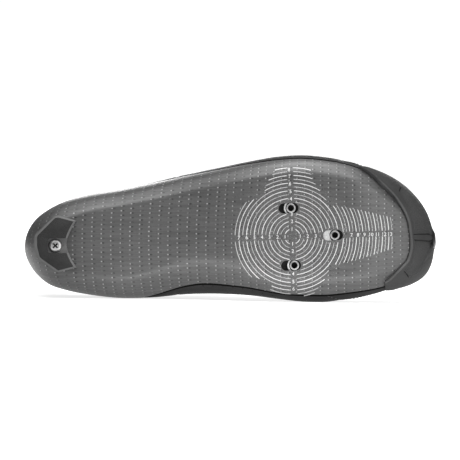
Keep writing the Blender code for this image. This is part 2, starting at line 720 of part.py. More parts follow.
def make_nut(name, place, finish):
    """A threaded barrel in its slot, with a flange on the tub's floor. Its origin is its own centre."""
    along_slot = Vector((math.cos(-CLEAT_TURN), math.sin(-CLEAT_TURN)))
    slot_x = BALL_AT * LENGTH + place["ahead"]
    centre = Vector((slot_x, -place["side"])) + along_slot * place["nut"]
    floor = float(sole_line(np.array(centre.x)))
    low = floor + NUT_SUNK
    deck = floor + TUB_WALL + GAP
    steps = ROUND_STEPS
    ring = arc((0, 0), NUT_RADIUS, 0, 360, steps)[:-1]
    bore = arc((0, 0), NUT_BORE_RADIUS, 0, 360, steps)[:-1]
    reach = FLANGE_HALF_WIDTH
    flange = []
    for turn in np.linspace(0, 2 * math.pi, steps, endpoint=False):
        c, s = math.cos(turn), math.sin(turn)
        stretch = (place["front"] if c > 0 else place["back"]) - reach
        flange.append((reach * c + (stretch if c > 0 else -stretch) * (abs(c) > 1e-6), reach * s))
    levels = [(bore, low), (ring, low), (ring, deck), (flange, deck), (flange, deck + FLANGE_THICKNESS)]
    levels += [(bore, deck + FLANGE_THICKNESS)]
    points = [(x, y, z) for outline, z in levels for x, y in placed(outline, 0, 0, -CLEAT_TURN)]
    faces = skin_faces(len(levels), steps, True, 0, False)
    first = list(range(steps))
    last = list(range((len(levels) - 1) * steps, len(levels) * steps))
    faces += strip_faces(last, first, True)
    nut = add_object(name, points, faces, finish)
    nut.location = (centre.x, centre.y, 0.0)


def volume_centre(objects):
    """Centre of volume, from the tetrahedra that the triangles make with the origin."""
    total = 0.0
    moment = Vector()
    for obj in objects:
        obj.data.calc_loop_triangles()
        for triangle in obj.data.loop_triangles:
            a, b, c = (obj.matrix_world @ obj.data.vertices[i].co for i in triangle.vertices)
            volume = a.dot(b.cross(c)) / 6
            total += volume
            moment += volume * (a + b + c) / 4
    return moment / total


def lying_turn(objects):
    """The turn that lays the shoe on its inner side. The floor is the face of its convex hull that its
    centre of volume stands over, and of several the one nearest upright."""
    centre = volume_centre(objects)
    work = bmesh.new()
    for point in world_points(objects):
        work.verts.new(point)
    bmesh.ops.convex_hull(work, input=work.verts)
    bmesh.ops.triangulate(work, faces=work.faces)
    down = Vector((0.0, -1.0, 0.0))
    for face in work.faces:
        a, b, c = (vert.co for vert in face.verts)
        foot = centre - face.normal * (centre - a).dot(face.normal)
        if face.normal.y > down.y and intersect_point_tri(foot, a, b, c):
            down = face.normal.copy()
    work.free()
    x = (Vector((1.0, 0.0, 0.0)) + down.x * -down).normalized()
    return Matrix([x, x.cross(down), -down])


def world_points(objects):
    return np.array([obj.matrix_world @ vert.co for obj in objects for vert in obj.data.vertices])


def main():
    for obj in list(bpy.data.objects):
        bpy.data.objects.remove(obj, do_unlink=True)
    carbon = material("carbon", (0.10, 0.10, 0.105), 0.38)
    leather = material("upper", (0.035, 0.035, 0.037), 0.55)
    fabric = material("lining", (0.03, 0.03, 0.032), 0.9)
    rubber = material("rubber", (0.055, 0.055, 0.057), 0.7)
    metal = material("metal", (0.62, 0.62, 0.60), 0.35, 1.0)

    angles = np.linspace(0, 2 * math.pi, COLUMNS, endpoint=False)
    rim = around(SIDES, "rim_lateral", "rim_medial", angles) * RIM_HEIGHT
    rim_way = way_at_height(angles, rim)
    edge_way = opening_way(angles)
    band_way = rim_way + BAND_SHARE * (np.minimum(edge_way, BAND_LIMIT) - rim_way)
    ways = {
        "sole": rows_between(np.full(COLUMNS, -1.0), np.zeros(COLUMNS), SOLE_ROWS),
        "wall": rows_between(np.zeros(COLUMNS), rim_way, WALL_ROWS),
        "band": rows_between(rim_way, band_way, BAND_ROWS),
        "upper": rows_between(band_way, edge_way, UPPER_ROWS),
    }

    make_tub(angles, ways, carbon)
    make_upper(angles, ways, leather)
    make_insole(angles, ways, fabric)
    make_tongue(fabric)
    for name, share in STRAP_PLACES.items():
        make_strap(name, share, leather)
    make_toe_cap(angles, rubber)
    make_heel_pad(make_tub_form(angles, ways), rubber)
    make_screw(metal)
    for name, place in rows_of(NUTS):
        make_nut(name, place, metal)

    shown = [obj for obj in bpy.data.objects if not obj.hide_render]
    bpy.context.view_layer.update()
    turn = lying_turn(shown)
    laid = world_points(shown) @ np.array(turn).T
    low, high = laid.min(axis=0), laid.max(axis=0)
    shift = Vector((-(low[0] + high[0]) / 2, -(low[1] + high[1]) / 2, -low[2]))
    shoe = bpy.data.objects.new("shoe", None)
    bpy.context.scene.collection.objects.link(shoe)
    for obj in bpy.data.objects:
        if obj is not shoe:
            obj.parent = shoe
    shoe.matrix_world = Matrix.Translation(shift) @ turn.to_4x4()


main()
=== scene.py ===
import math

import bmesh
import bpy
import numpy as np
from mathutils import Matrix, Vector
from mathutils.bvhtree import BVHTree


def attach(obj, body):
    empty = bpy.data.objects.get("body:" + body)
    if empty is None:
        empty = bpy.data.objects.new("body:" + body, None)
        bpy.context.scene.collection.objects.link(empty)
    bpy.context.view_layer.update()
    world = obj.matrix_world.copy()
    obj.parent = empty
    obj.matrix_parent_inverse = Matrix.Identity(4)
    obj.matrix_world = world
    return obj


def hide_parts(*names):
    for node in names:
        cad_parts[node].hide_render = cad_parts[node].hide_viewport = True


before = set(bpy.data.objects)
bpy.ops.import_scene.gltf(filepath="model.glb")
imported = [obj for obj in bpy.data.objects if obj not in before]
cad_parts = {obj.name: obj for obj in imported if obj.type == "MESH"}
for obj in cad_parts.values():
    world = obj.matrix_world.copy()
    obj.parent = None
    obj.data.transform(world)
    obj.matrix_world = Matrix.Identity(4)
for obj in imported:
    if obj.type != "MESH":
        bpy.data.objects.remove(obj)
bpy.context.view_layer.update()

print("frame loaded with", len(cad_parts), "nodes")

# The shoe is modelled standing, in metres: heel at x = 0, toe along +X, lateral side along -Y and the
# ball of the sole at z = 0. layDown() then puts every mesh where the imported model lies.
shoe = {
    "length": 0.2784, "ballWidth": 0.1005, "instepHeight": 0.098, "gap": 0.0003, "heelPadHeight": 0.007,
    "heelTurn": 0.005, "heelTurnEnd": 0.10, "seatEnd": 0.20, "archRise": 0.006, "archStart": 0.14,
    "archTop": 0.36, "flatStart": 0.59, "flatEnd": 0.79, "toeSpring": 0.020, "toeSpringPower": 1.5,
    "bulgeHeight": 0.030, "edgeBreadth": 0.014, "rimHeight": 0.040, "tubWall": 0.0025, "upperWall": 0.002,
    "spineHeel": 0.155, "spineToe": 0.86, "columns": 480,
}

tiny = 1e-6

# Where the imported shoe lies: the floor's direction in the standing frame, and the shift after the turn
lying = {"down": (-0.01500151, 0.99919713, 0.03714866), "shift": (-0.14090741, -0.05073465, 0.03808772)}

# Side lines of the form at its widest height, as shares of the ball width
outlineTable = (
    ("share", "lateral", "medial"),
    (0.000, -0.025, -0.025),
    (0.012, 0.101, -0.144),
    (0.030, 0.168, -0.213),
    (0.060, 0.230, -0.281),
    (0.100, 0.285, -0.320),
    (0.160, 0.332, -0.353),
    (0.240, 0.370, -0.376),
    (0.320, 0.417, -0.371),
    (0.400, 0.470, -0.350),
    (0.480, 0.516, -0.347),
    (0.560, 0.561, -0.359),
    (0.620, 0.589, -0.380),
    (0.680, 0.600, -0.399),
    (0.740, 0.587, -0.402),
    (0.800, 0.552, -0.377),
    (0.860, 0.482, -0.342),
    (0.910, 0.401, -0.296),
    (0.950, 0.313, -0.250),
    (0.980, 0.212, -0.185),
    (1.000, 0.000, 0.000),
)

# Sides: bulge as shares of the bulge height, edge of the edge breadth, rim of the rim height
sidesTable = (
    ("share", "bulgeLateral", "bulgeMedial", "edgeLateral", "edgeMedial", "rimLateral", "rimMedial"),
    (0.00, 0.78, 0.78, 1.00, 1.00, 0.95, 0.95),
    (0.10, 0.76, 0.73, 1.00, 1.00, 0.92, 0.92),
    (0.18, 0.77, 0.70, 1.00, 1.00, 0.82, 0.86),
    (0.24, 0.79, 0.71, 1.00, 1.05, 0.70, 0.74),
    (0.32, 0.83, 0.80, 1.00, 1.50, 0.52, 0.40),
    (0.42, 0.87, 0.92, 1.00, 2.10, 0.42, 0.28),
    (0.52, 0.83, 0.87, 1.00, 1.90, 0.36, 0.27),
    (0.62, 0.76, 0.74, 1.05, 1.20, 0.29, 0.22),
    (0.72, 0.69, 0.66, 1.05, 1.35, 0.26, 0.19),
    (0.82, 0.61, 0.60, 1.00, 1.20, 0.24, 0.20),
    (0.92, 0.52, 0.50, 1.00, 1.00, 0.23, 0.22),
    (1.00, 0.45, 0.45, 1.00, 1.00, 0.22, 0.22),
)

# Middle line: ridge as shares of the ball width, crown of the instep height, and the power that
# draws the sides in towards the crown
crownTable = (
    ("share", "ridge", "crown", "draw"),
    (0.155, -0.012, 1.45, 1.50),
    (0.240, -0.010, 1.35, 1.35),
    (0.340, -0.015, 1.17, 1.05),
    (0.420, -0.015, 1.00, 0.98),
    (0.500, 0.000, 0.86, 0.96),
    (0.600, 0.022, 0.715, 0.95),
    (0.700, 0.038, 0.61, 0.90),
    (0.800, 0.046, 0.545, 0.88),
    (0.860, 0.050, 0.52, 0.85),
)


def column(table, name):
    place = table[0].index(name)
    return np.array([row[place] for row in table[1:]], float)


def smoothThrough(knots, values, at):
    slopes = np.gradient(values, knots)
    place = np.clip(np.searchsorted(knots, at, side="right") - 1, 0, len(knots) - 2)
    span = knots[place + 1] - knots[place]
    u = np.clip((at - knots[place]) / span, 0.0, 1.0)
    start = (2 * u**3 - 3 * u**2 + 1) * values[place] + (u**3 - 2 * u**2 + u) * span * slopes[place]
    end = (3 * u**2 - 2 * u**3) * values[place + 1] + (u**3 - u**2) * span * slopes[place + 1]
    return start + end


def along(table, name, share):
    return smoothThrough(column(table, "share"), column(table, name), share)


def around(table, lateral, medial, angle):
    # two columns as one closed loop: lateral side from heel to toe, medial side back
    angles = np.arccos(1 - 2 * column(table, "share"))
    knots = np.concatenate([angles, 2 * math.pi - angles[-2:0:-1]])
    values = np.concatenate([column(table, lateral), column(table, medial)[-2:0:-1]])
    knots = np.concatenate([knots - 2 * math.pi, knots, knots + 2 * math.pi])
    return smoothThrough(knots, np.tile(values, 3), np.mod(angle, 2 * math.pi))


def ramp(value, start, end):
    u = np.clip((value - start) / (end - start), 0.0, 1.0)
    return u * u * (3 - 2 * u)


def hump(value, centre, width):
    return np.exp(-(((value - centre) / width) ** 2))


def soleLine(x):
    share = x / shoe["length"]
    seat = (shoe["heelPadHeight"] + shoe["gap"]) * (1 - ramp(share, shoe["seatEnd"], shoe["flatStart"]))
    arch = shoe["archRise"] * ramp(share, shoe["archStart"], shoe["archTop"])
    arch = arch * (1 - ramp(share, shoe["archTop"], shoe["flatStart"]))
    ahead = np.maximum((share - shoe["flatEnd"]) / (1 - shoe["flatEnd"]), 0.0)
    turn = shoe["heelTurn"] * np.maximum(1 - share / shoe["heelTurnEnd"], 0.0) ** 2
    return seat + arch + shoe["toeSpring"] * ahead ** shoe["toeSpringPower"] + turn


def soleHeight(x):
    return float(soleLine(np.array(x)))


def section(angle):
    share = (1 - np.cos(angle)) / 2
    middle = np.clip(share, shoe["spineHeel"], shoe["spineToe"])
    x = share * shoe["length"]
    side = around(outlineTable, "lateral", "medial", angle) * shoe["ballWidth"]
    middleSide = along(crownTable, "ridge", middle) * shoe["ballWidth"]
    reach = np.hypot(x - middle * shoe["length"], side - middleSide)
    bulge = around(sidesTable, "bulgeLateral", "bulgeMedial", angle) * shoe["bulgeHeight"]
    return {
        "share": share,
        "middle": middle * shoe["length"],
        "middleSide": middleSide,
        "outX": (x - middle * shoe["length"]) / reach,
        "outSide": (side - middleSide) / reach,
        "reach": reach,
        "bulge": bulge,
        "widest": soleLine(x) + bulge,
        "edge": around(sidesTable, "edgeLateral", "edgeMedial", angle) * shoe["edgeBreadth"],
        "crown": along(crownTable, "crown", middle) * shoe["instepHeight"],
        "draw": along(crownTable, "draw", middle),
    }


def form(angle, way):
    # way is -1 in the middle of the sole, 0 at the edge of its flat, 1 at the widest line, 2 on the crown
    s = section(angle)
    low = np.clip(way, 0, 1) * math.pi / 2
    high = np.clip(way - 1, 0, 1) * math.pi / 2
    flat = (s["reach"] - s["edge"]) * np.clip(1 + way, 0, 1)
    curved = s["reach"] - s["edge"] * (1 - np.sin(low))
    drawn = s["reach"] * np.maximum(np.cos(high), 0.0) ** s["draw"]
    radius = np.where(way < 0, flat, np.where(way <= 1, curved, drawn))
    radius = np.where(way > 2 - 1e-9, 0.0, radius)
    x = s["middle"] + s["outX"] * radius
    side = s["middleSide"] + s["outSide"] * radius
    lower = soleLine(x) + s["bulge"] * (1 - np.cos(low))
    upper = s["widest"] + (s["crown"] - s["widest"]) * np.sin(high)
    return np.stack([x, -side, np.where(way <= 1, lower, upper)], -1)


def formNormal(angle, way):
    small = 1e-3
    across = form(angle + small, way) - form(angle - small, way)
    up = form(angle, np.minimum(way + small, 2.0)) - form(angle, way - small)
    wall = np.cross(across, up)
    x = form(angle, way)[..., 0]
    slope = (soleLine(x + small) - soleLine(x - small)) / (2 * small)
    under = np.stack([slope, 0 * slope, -1 + 0 * slope], -1)
    middle = section(angle)["middle"] / shoe["length"]
    fall = along(crownTable, "crown", middle + small) - along(crownTable, "crown", middle - small)
    fall = fall * shoe["instepHeight"] / (2 * small * shoe["length"])
    over = np.stack([-fall, 0 * fall, 1 + 0 * fall], -1)
    way = way[..., None]
    normal = np.where(way <= 0, under, np.where(way >= 2 - 1e-6, over, wall))
    return normal / np.linalg.norm(normal, axis=-1, keepdims=True)


def lattice(angles, ways, offset):
    angles = np.broadcast_to(angles, ways.shape)
    offset = np.broadcast_to(offset, ways.shape)
    return form(angles, ways) + formNormal(angles, ways) * offset[..., None]


def wayAtHeight(angle, height):
    s = section(angle)
    low = np.arccos(np.clip(1 - height / s["bulge"], 0, 1))
    high = np.arcsin(np.clip((height - s["bulge"]) / (s["crown"] - s["widest"]), 0, 1))
    return np.where(height <= s["bulge"], low, math.pi / 2 + high) / (math.pi / 2)


def wayInFromSide(angle, distance):
    s = section(angle)
    curved = np.arcsin(np.clip(1 - distance / s["edge"], 0, 1)) / (math.pi / 2)
    flat = -(distance - s["edge"]) / (s["reach"] - s["edge"])
    return np.where(distance < s["edge"], curved, flat)


def wayDistance(angle, way):
    s = section(angle)
    curved = s["edge"] * (1 - np.sin(np.clip(way, 0, 1) * math.pi / 2))
    return curved + np.maximum(-way, 0) * (s["reach"] - s["edge"])


def wayAtHalfWidth(angle, halfWidth):
    s = section(angle)
    narrow = np.clip(halfWidth / s["reach"], 0, 1) ** (1 / s["draw"])
    return 1 + np.arccos(narrow) / (math.pi / 2)


def rowsBetween(start, end, count):
    shares = np.linspace(0, 1, count + 1)[:, None]
    return start[None, :] + (end - start)[None, :] * shares


def unit(vectors):
    return vectors / np.maximum(np.linalg.norm(vectors, axis=-1, keepdims=True), 1e-12)


def lengthAlong(line):
    return np.concatenate([[0], np.cumsum(np.linalg.norm(np.diff(line, axis=0), axis=1))])


# Blender helpers

def deselect():
    if bpy.context.object and bpy.context.object.mode != "OBJECT":
        bpy.ops.object.mode_set(mode="OBJECT")
    bpy.ops.object.select_all(action="DESELECT")


def pick(*pieces):
    deselect()
    for piece in pieces:
        piece.select_set(True)
    bpy.context.view_layer.objects.active = pieces[0]


def linked(name, data):
    made = bpy.data.objects.new(name, data)
    bpy.context.scene.collection.objects.link(made)
    return made


def added(name, *finishes):
    # the object that the last primitive operator made
    piece = bpy.context.object
    piece.name = piece.data.name = name
    for finish in finishes:
        piece.data.materials.append(finish)
    return piece


def selectParts(piece, kind, test):
    # in edit mode: picks verts, edges or faces by their middle
    work = bmesh.from_edit_mesh(piece.data)
    bpy.context.tool_settings.mesh_select_mode = [kind == name for name in ("verts", "edges", "faces")]
    for name in ("faces", "edges", "verts"):
        for part in getattr(work, name):
            part.select_set(False)
    for part in getattr(work, kind):
        corners = [part] if kind == "verts" else part.verts
        middle = sum((corner.co for corner in corners), Vector()) / len(corners)
        if test(middle, part):
            part.select_set(True)
    work.select_flush_mode()
    bmesh.update_edit_mesh(piece.data)


def selected(piece):
    return [vert for vert in bmesh.from_edit_mesh(piece.data).verts if vert.select]


def shifted(piece, test, offset):
    # in edit mode: moves the verts that pass the test
    selectParts(piece, "verts", test)
    bpy.ops.transform.translate(value=offset)


def parted(piece, ahead, back):
    # in edit mode: pulls a round piece's halves apart along X
    shifted(piece, lambda at, part: at.x > tiny, (ahead, 0, 0))
    shifted(piece, lambda at, part: at.x < -tiny, (-back, 0, 0))


def pulled(height):
    bpy.ops.mesh.extrude_region_move(TRANSFORM_OT_translate={"value": (0, 0, height)})


def finishSelected(piece, finish):
    piece.active_material_index = list(piece.data.materials).index(finish)
    bpy.ops.object.material_slot_assign()


def facesOut():
    bpy.ops.mesh.select_all(action="SELECT")
    bpy.ops.mesh.normals_make_consistent(inside=False)


def editing(piece):
    pick(piece)
    bpy.ops.object.mode_set(mode="EDIT")


def doneEditing():
    bpy.ops.object.mode_set(mode="OBJECT")


def placeInMesh(piece):
    pick(piece)
    bpy.ops.object.transform_apply(location=True, rotation=True, scale=True)


def placed(piece, x, y, z, turn=0.0):
    piece.location = (x, y, z)
    piece.rotation_euler = (0, 0, turn)
    placeInMesh(piece)
    return piece


def cylinder(name, radius, low, high, vertices, finish=None, x=0.0, y=0.0):
    bpy.ops.mesh.primitive_cylinder_add(vertices=vertices, radius=radius, depth=high - low)
    finishes = [finish] if finish else []
    return placed(added(name, *finishes), x, y, (low + high) / 2)


def box(name, x, y, z, size, finish):
    bpy.ops.mesh.primitive_cube_add(size=1.0)
    made = added(name, finish)
    made.scale = size
    return placed(made, x, y, z)


def modified(piece, kind, **settings):
    modifier = piece.modifiers.new("change", kind)
    for name, value in settings.items():
        setattr(modifier, name, value)
    pick(piece)
    bpy.ops.object.modifier_apply(modifier=modifier.name)


def cutWith(piece, cutter, operation="DIFFERENCE", transfer=False):
    mode = "TRANSFER" if transfer else "INDEX"
    modified(piece, "BOOLEAN", operation=operation, solver="EXACT", material_mode=mode, object=cutter)
    bpy.data.objects.remove(cutter, do_unlink=True)


def bevelled(piece, width, degrees):
    limit = math.radians(degrees)
    modified(piece, "BEVEL", width=width, segments=2, limit_method="ANGLE", angle_limit=limit)


def smoothed(piece, degrees=40):
    pick(piece)
    bpy.ops.object.shade_smooth_by_angle(angle=math.radians(degrees))


def meshPiece(name, points, faces, *finishes):
    mesh = bpy.data.meshes.new(name)
    mesh.from_pydata(points, [], faces)
    for finish in finishes:
        mesh.materials.append(finish)
    return linked(name, mesh)


def gridPiece(name, rows, finishes, flatMap=None, closedRows=False, closedColumns=True, drop=None, looks=None):
    # a mesh over rows of points, outwards where rows rise and columns run with the angle
    count, across = rows.shape[:2]
    index = np.arange(count * across).reshape(count, across)
    above, right = np.roll(index, -1, axis=0), np.roll(index, -1, axis=1)
    quads = np.stack([index, right, np.roll(above, -1, axis=1), above], -1)
    keep = np.ones((count, across), bool) if drop is None else ~drop
    keep[-1] &= closedRows
    keep[:, -1] &= closedColumns
    faces = quads[keep].tolist()
    if closedRows and not closedColumns:
        # both ends of the wall are shut, from its outer to its inner side
        for row in range(count // 2 - 1):
            for place, turned in ((0, 1), (across - 1, -1)):
                end = [int(index[i, place]) for i in (row, row + 1, count - 2 - row, count - 1 - row)]
                faces.append(end[::turned])
    piece = meshPiece(name, rows.reshape(-1, 3).tolist(), faces, *finishes)
    mesh = piece.data
    if looks is not None:
        chosen = np.broadcast_to(np.array(looks)[:, None], keep.shape)[keep]
        chosen = np.concatenate([chosen, np.zeros(len(faces) - len(chosen), int)])
        mesh.polygons.foreach_set("material_index", np.ascontiguousarray(chosen, dtype=np.int32))
    if flatMap is not None:
        layer = mesh.uv_layers.new(name="flat")
        corners = np.empty(len(mesh.loops), np.int32)
        mesh.loops.foreach_get("vertex_index", corners)
        layer.data.foreach_set("uv", flatMap.reshape(-1, 2)[corners].astype(np.float32).ravel())
    work = bmesh.new()
    work.from_mesh(mesh)
    bmesh.ops.remove_doubles(work, verts=work.verts, dist=2e-6)
    loose = [vert for vert in work.verts if not vert.link_faces]
    bmesh.ops.delete(work, geom=loose, context="VERTS")
    work.to_mesh(mesh)
    work.free()
    smoothed(piece)
    return piece


def wallPiece(name, outer, edge, inner, finishes, outerMap, looks=None):
    # a wall with an outer and an inner skin and a rolled edge between them
    mapped = np.concatenate([outerMap, np.repeat(outerMap[-1:], len(edge), axis=0), outerMap[::-1]])
    return gridPiece(name, np.concatenate([outer, edge, inner[::-1]]), finishes, mapped, looks=looks)


def capPiece(name, outer, inner, finishes, looks=None, flatMap=None):
    # a shell between two open grids
    rows = np.concatenate([outer, inner[::-1]])
    return gridPiece(name, rows, finishes, flatMap, closedRows=True, closedColumns=False, looks=looks)


def rollOver(outerEdge, innerEdge, before, lift, steps):
    # a rounded edge from the outer to the inner side of a wall
    up = unit(outerEdge - before)
    middle, half = (outerEdge + innerEdge) / 2, (outerEdge - innerEdge) / 2
    turns = np.linspace(0, math.pi, steps + 2)[1:-1]
    lift = np.broadcast_to(lift, outerEdge.shape[:-1])[..., None]
    return np.array([middle + half * math.cos(t) + up * lift * math.sin(t) for t in turns])


turnDown = Vector(lying["down"])
turnX = (Vector((1.0, 0.0, 0.0)) + turnDown.x * -turnDown).normalized()
lyingMatrix = Matrix([turnX, turnX.cross(turnDown), -turnDown]).to_4x4()
lyingMatrix = Matrix.Translation(Vector(lying["shift"])) @ lyingMatrix


def layDown(piece, body, slot, *nodes):
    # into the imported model's place, riding on its body
    piece.data.transform(lyingMatrix)
    piece.data.update()
    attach(piece, body)
    if nodes:
        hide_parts(*nodes)
    print("made", piece.name, len(piece.data.polygons), "faces")


# Finishes

class Value:
    # a shader value that takes Python's own signs
    def __init__(self, tree, socket):
        self.tree, self.socket = tree, socket

    def through(self, operation, *others):
        inputs = dict(enumerate((self, *others)))
        return Value(self.tree, addNode(self.tree, "Math", inputs, operation=operation).outputs[0])

    def __add__(self, other):
        return self.through("ADD", other)

    def __sub__(self, other):
        return self.through("SUBTRACT", other)

    def __mul__(self, other):
        return self.through("MULTIPLY", other)

    def __truediv__(self, other):
        return self.through("DIVIDE", other)

    def fromWhole(self):
        return self - self.through("ROUND")

    def ranged(self, start, end, low, high, **settings):
        inputs = {"Value": self, "From Min": start, "From Max": end, "To Min": low, "To Max": high}
        return Value(self.tree, addNode(self.tree, "MapRange", inputs, **settings).outputs["Result"])

    def fade(self, start, end):
        # 0 at start, 1 at end, smooth between
        return self.ranged(start, end, 0.0, 1.0, interpolation_type="SMOOTHSTEP")


def feed(tree, socket, value):
    # a constant is set on the socket itself, anything else is linked to it
    value = value.socket if isinstance(value, Value) else value
    if isinstance(value, bpy.types.NodeSocket):
        tree.links.new(value, socket)
    else:
        socket.default_value = value


def addNode(tree, kind, inputs=(), **settings):
    made = tree.nodes.new("ShaderNode" + kind)
    for name, value in settings.items():
        setattr(made, name, value)
    for place, value in dict(inputs).items():
        feed(tree, made.inputs[place], value)
    return made


def noise(tree, vector, scale, detail=2.0, roughness=0.5):
    inputs = {"Vector": vector, "Scale": scale, "Detail": detail, "Roughness": roughness}
    return Value(tree, addNode(tree, "TexNoise", inputs).outputs["Fac"])


def stretched(tree, vector, scale):
    return addNode(tree, "Mapping", {"Vector": vector, "Scale": scale}).outputs["Vector"]


def partsOf(tree, vector):
    split = addNode(tree, "SeparateXYZ", {0: vector})
    return [Value(tree, split.outputs[name]) for name in "XYZ"]


def grey(level):
    return (level, level, level, 1.0)


def mixed(tree, share, first, second):
    inputs = {0: share, 6: first, 7: second}
    return addNode(tree, "Mix", inputs, data_type="RGBA").outputs[2]


def newFinish(name, constants):
    made = bpy.data.materials.new(name)
    made.use_nodes = True
    shader = made.node_tree.nodes["Principled BSDF"]
    for title, value in constants.items():
        shader.inputs[title].default_value = value
    return made, made.node_tree, shader


def dress(tree, shader, colour, height, depth, strength, roughness=None):
    feed(tree, shader.inputs["Base Color"], colour)
    if roughness:
        feed(tree, shader.inputs["Roughness"], roughness)
    bump = addNode(tree, "Bump", {"Height": height, "Distance": depth, "Strength": strength})
    feed(tree, shader.inputs["Normal"], bump.outputs["Normal"])


def newGroup(name, inputs, outputs):
    # an input with no value of its own is the vector
    group = bpy.data.node_groups.new(name, "ShaderNodeTree")
    for title, value in inputs.items():
        kind = "NodeSocketVector" if value is None else "NodeSocketFloat"
        socket = group.interface.new_socket(title, in_out="INPUT", socket_type=kind)
        if value is not None:
            socket.default_value = value
    for title in outputs:
        group.interface.new_socket(title, in_out="OUTPUT", socket_type="NodeSocketFloat")
    return group, group.nodes.new("NodeGroupInput").outputs, group.nodes.new("NodeGroupOutput").inputs


def useGroup(tree, group, **inputs):
    made = addNode(tree, "Group", inputs, node_tree=group)
    return {title: Value(tree, socket) for title, socket in made.outputs.items()}


def objectPlace(tree):
    return addNode(tree, "TexCoord").outputs["Object"]


def flatPlace(tree):
    return addNode(tree, "UVMap", uv_map="flat").outputs["UV"]


# fine pebbled grain, with slow shade changes over it
grainGroup, given, sent = newGroup("fineGrain", {"Vector": None, "Scale": 1800.0}, ("Height", "Shade"))
pebbles = addNode(grainGroup, "TexVoronoi", {"Vector": given["Vector"], "Scale": given["Scale"]})
height = Value(grainGroup, pebbles.outputs["Distance"]) + noise(grainGroup, given["Vector"], 5200.0) * 0.5
feed(grainGroup, sent["Height"], height)
feed(grainGroup, sent["Shade"], noise(grainGroup, given["Vector"], 55.0, 4.0, 0.6))

# over-and-under threads of a woven or knitted cloth
weaveGroup, given, sent = newGroup("clothWeave", {"Vector": None, "Threads": 1400.0}, ("Height", "Shade"))
inputs = {"Vector": given["Vector"], "Scale": given["Threads"]}
scaled = addNode(weaveGroup, "VectorMath", inputs, operation="SCALE")
wave, cross = [(way * math.pi).through("SINE") for way in partsOf(weaveGroup, scaled.outputs["Vector"])[:2]]
feed(weaveGroup, sent["Height"], (wave * cross).through("ABSOLUTE"))
feed(weaveGroup, sent["Shade"], noise(weaveGroup, given["Vector"], 90.0, 3.0))

# the threads that hold the carbon tapes sit in small dimples: each is a painted highlight with a painted shade
# beside it, in bowed columns that stand closer together ahead of the waist; spots as offset, half width and half
# height in mm
threads = {
    "pitch": 0.006512, "closerPitch": 0.005506, "closerFrom": 0.132, "first": 0.0006, "step": 0.00316,
    "bowHeel": 1.75, "bowToe": 0.1, "bowFrom": 0.10, "bowTo": 0.20,
    "Light": (0.0, 0.55, 0.5), "Dark": (1.35, 1.05, 0.62),
}
threadGroup, given, sent = newGroup("tapeThreads", {"Vector": None}, ("Light", "Dark"))
ahead, sideways = partsOf(threadGroup, given["Vector"])[:2]
bow = ahead.ranged(threads["bowFrom"], threads["bowTo"], threads["bowHeel"], threads["bowToe"])
place = ahead - bow * sideways * sideways
closer = (place - threads["closerFrom"]).through("MAXIMUM", 0.0)
closer = closer * (1 / threads["closerPitch"] - 1 / threads["pitch"])
place = (place - threads["first"]) / threads["pitch"] + closer
acrossPlace = place.fromWhole() * (threads["pitch"] * 1000)
odd = (place.through("ROUND") + 40.0).through("MODULO", 2.0) * 0.5
upPlace = (sideways / threads["step"] + odd).fromWhole() * (threads["step"] * 1000)
uneven = noise(threadGroup, given["Vector"], 420.0, 1.0).fade(0.3, 0.62)
for title in ("Light", "Dark"):
    offset, wide, high = threads[title]
    spot, tall = (acrossPlace - offset) / wide, upPlace / high
    feed(threadGroup, sent[title], (spot * spot + tall * tall).fade(1.7, 0.1) * uneven)

# air holes of both quarters, in staggered rows, drawn as near-black painted shade with a bump rather than cut; the
# map runs along the shoe and up its side
airHoles = {
    "along": 0.0068, "up": 0.0052, "radius": 0.00062,
    "from": 0.096, "to": 0.171, "low": 0.0155, "high": 0.043,
}
holeGroup, given, sent = newGroup("airHoles", {"Vector": None}, ("Hole",))
ahead, up = partsOf(holeGroup, given["Vector"])[:2]
level = (up - airHoles["low"]) / airHoles["up"]
odd = level.through("ROUND").through("MODULO", 2.0) * 0.5
acrossOff = (ahead / airHoles["along"] + odd).fromWhole() * (airHoles["along"] / airHoles["radius"])
levelOff = level.fromWhole() * (airHoles["up"] / airHoles["radius"])
hole = (acrossOff * acrossOff + levelOff * levelOff).fade(1.25, 0.75)
hole = hole * ahead.through("GREATER_THAN", airHoles["from"]) * ahead.through("LESS_THAN", airHoles["to"])
hole = hole * level.through("GREATER_THAN", -0.5) * up.through("LESS_THAN", airHoles["high"])
feed(holeGroup, sent["Hole"], hole)

# spot is the grey of the thread dimples' painted highlight, and the near-black beside it is their painted shade
carbonLook = {
    "dark": 0.034, "light": 0.074, "spot": 0.38, "hole": 0.008,
    "chartX": 0.1836, "chartSide": 0.0044, "speckle": 0.55, "speckleFrom": 0.046, "speckleTo": 0.030,
}


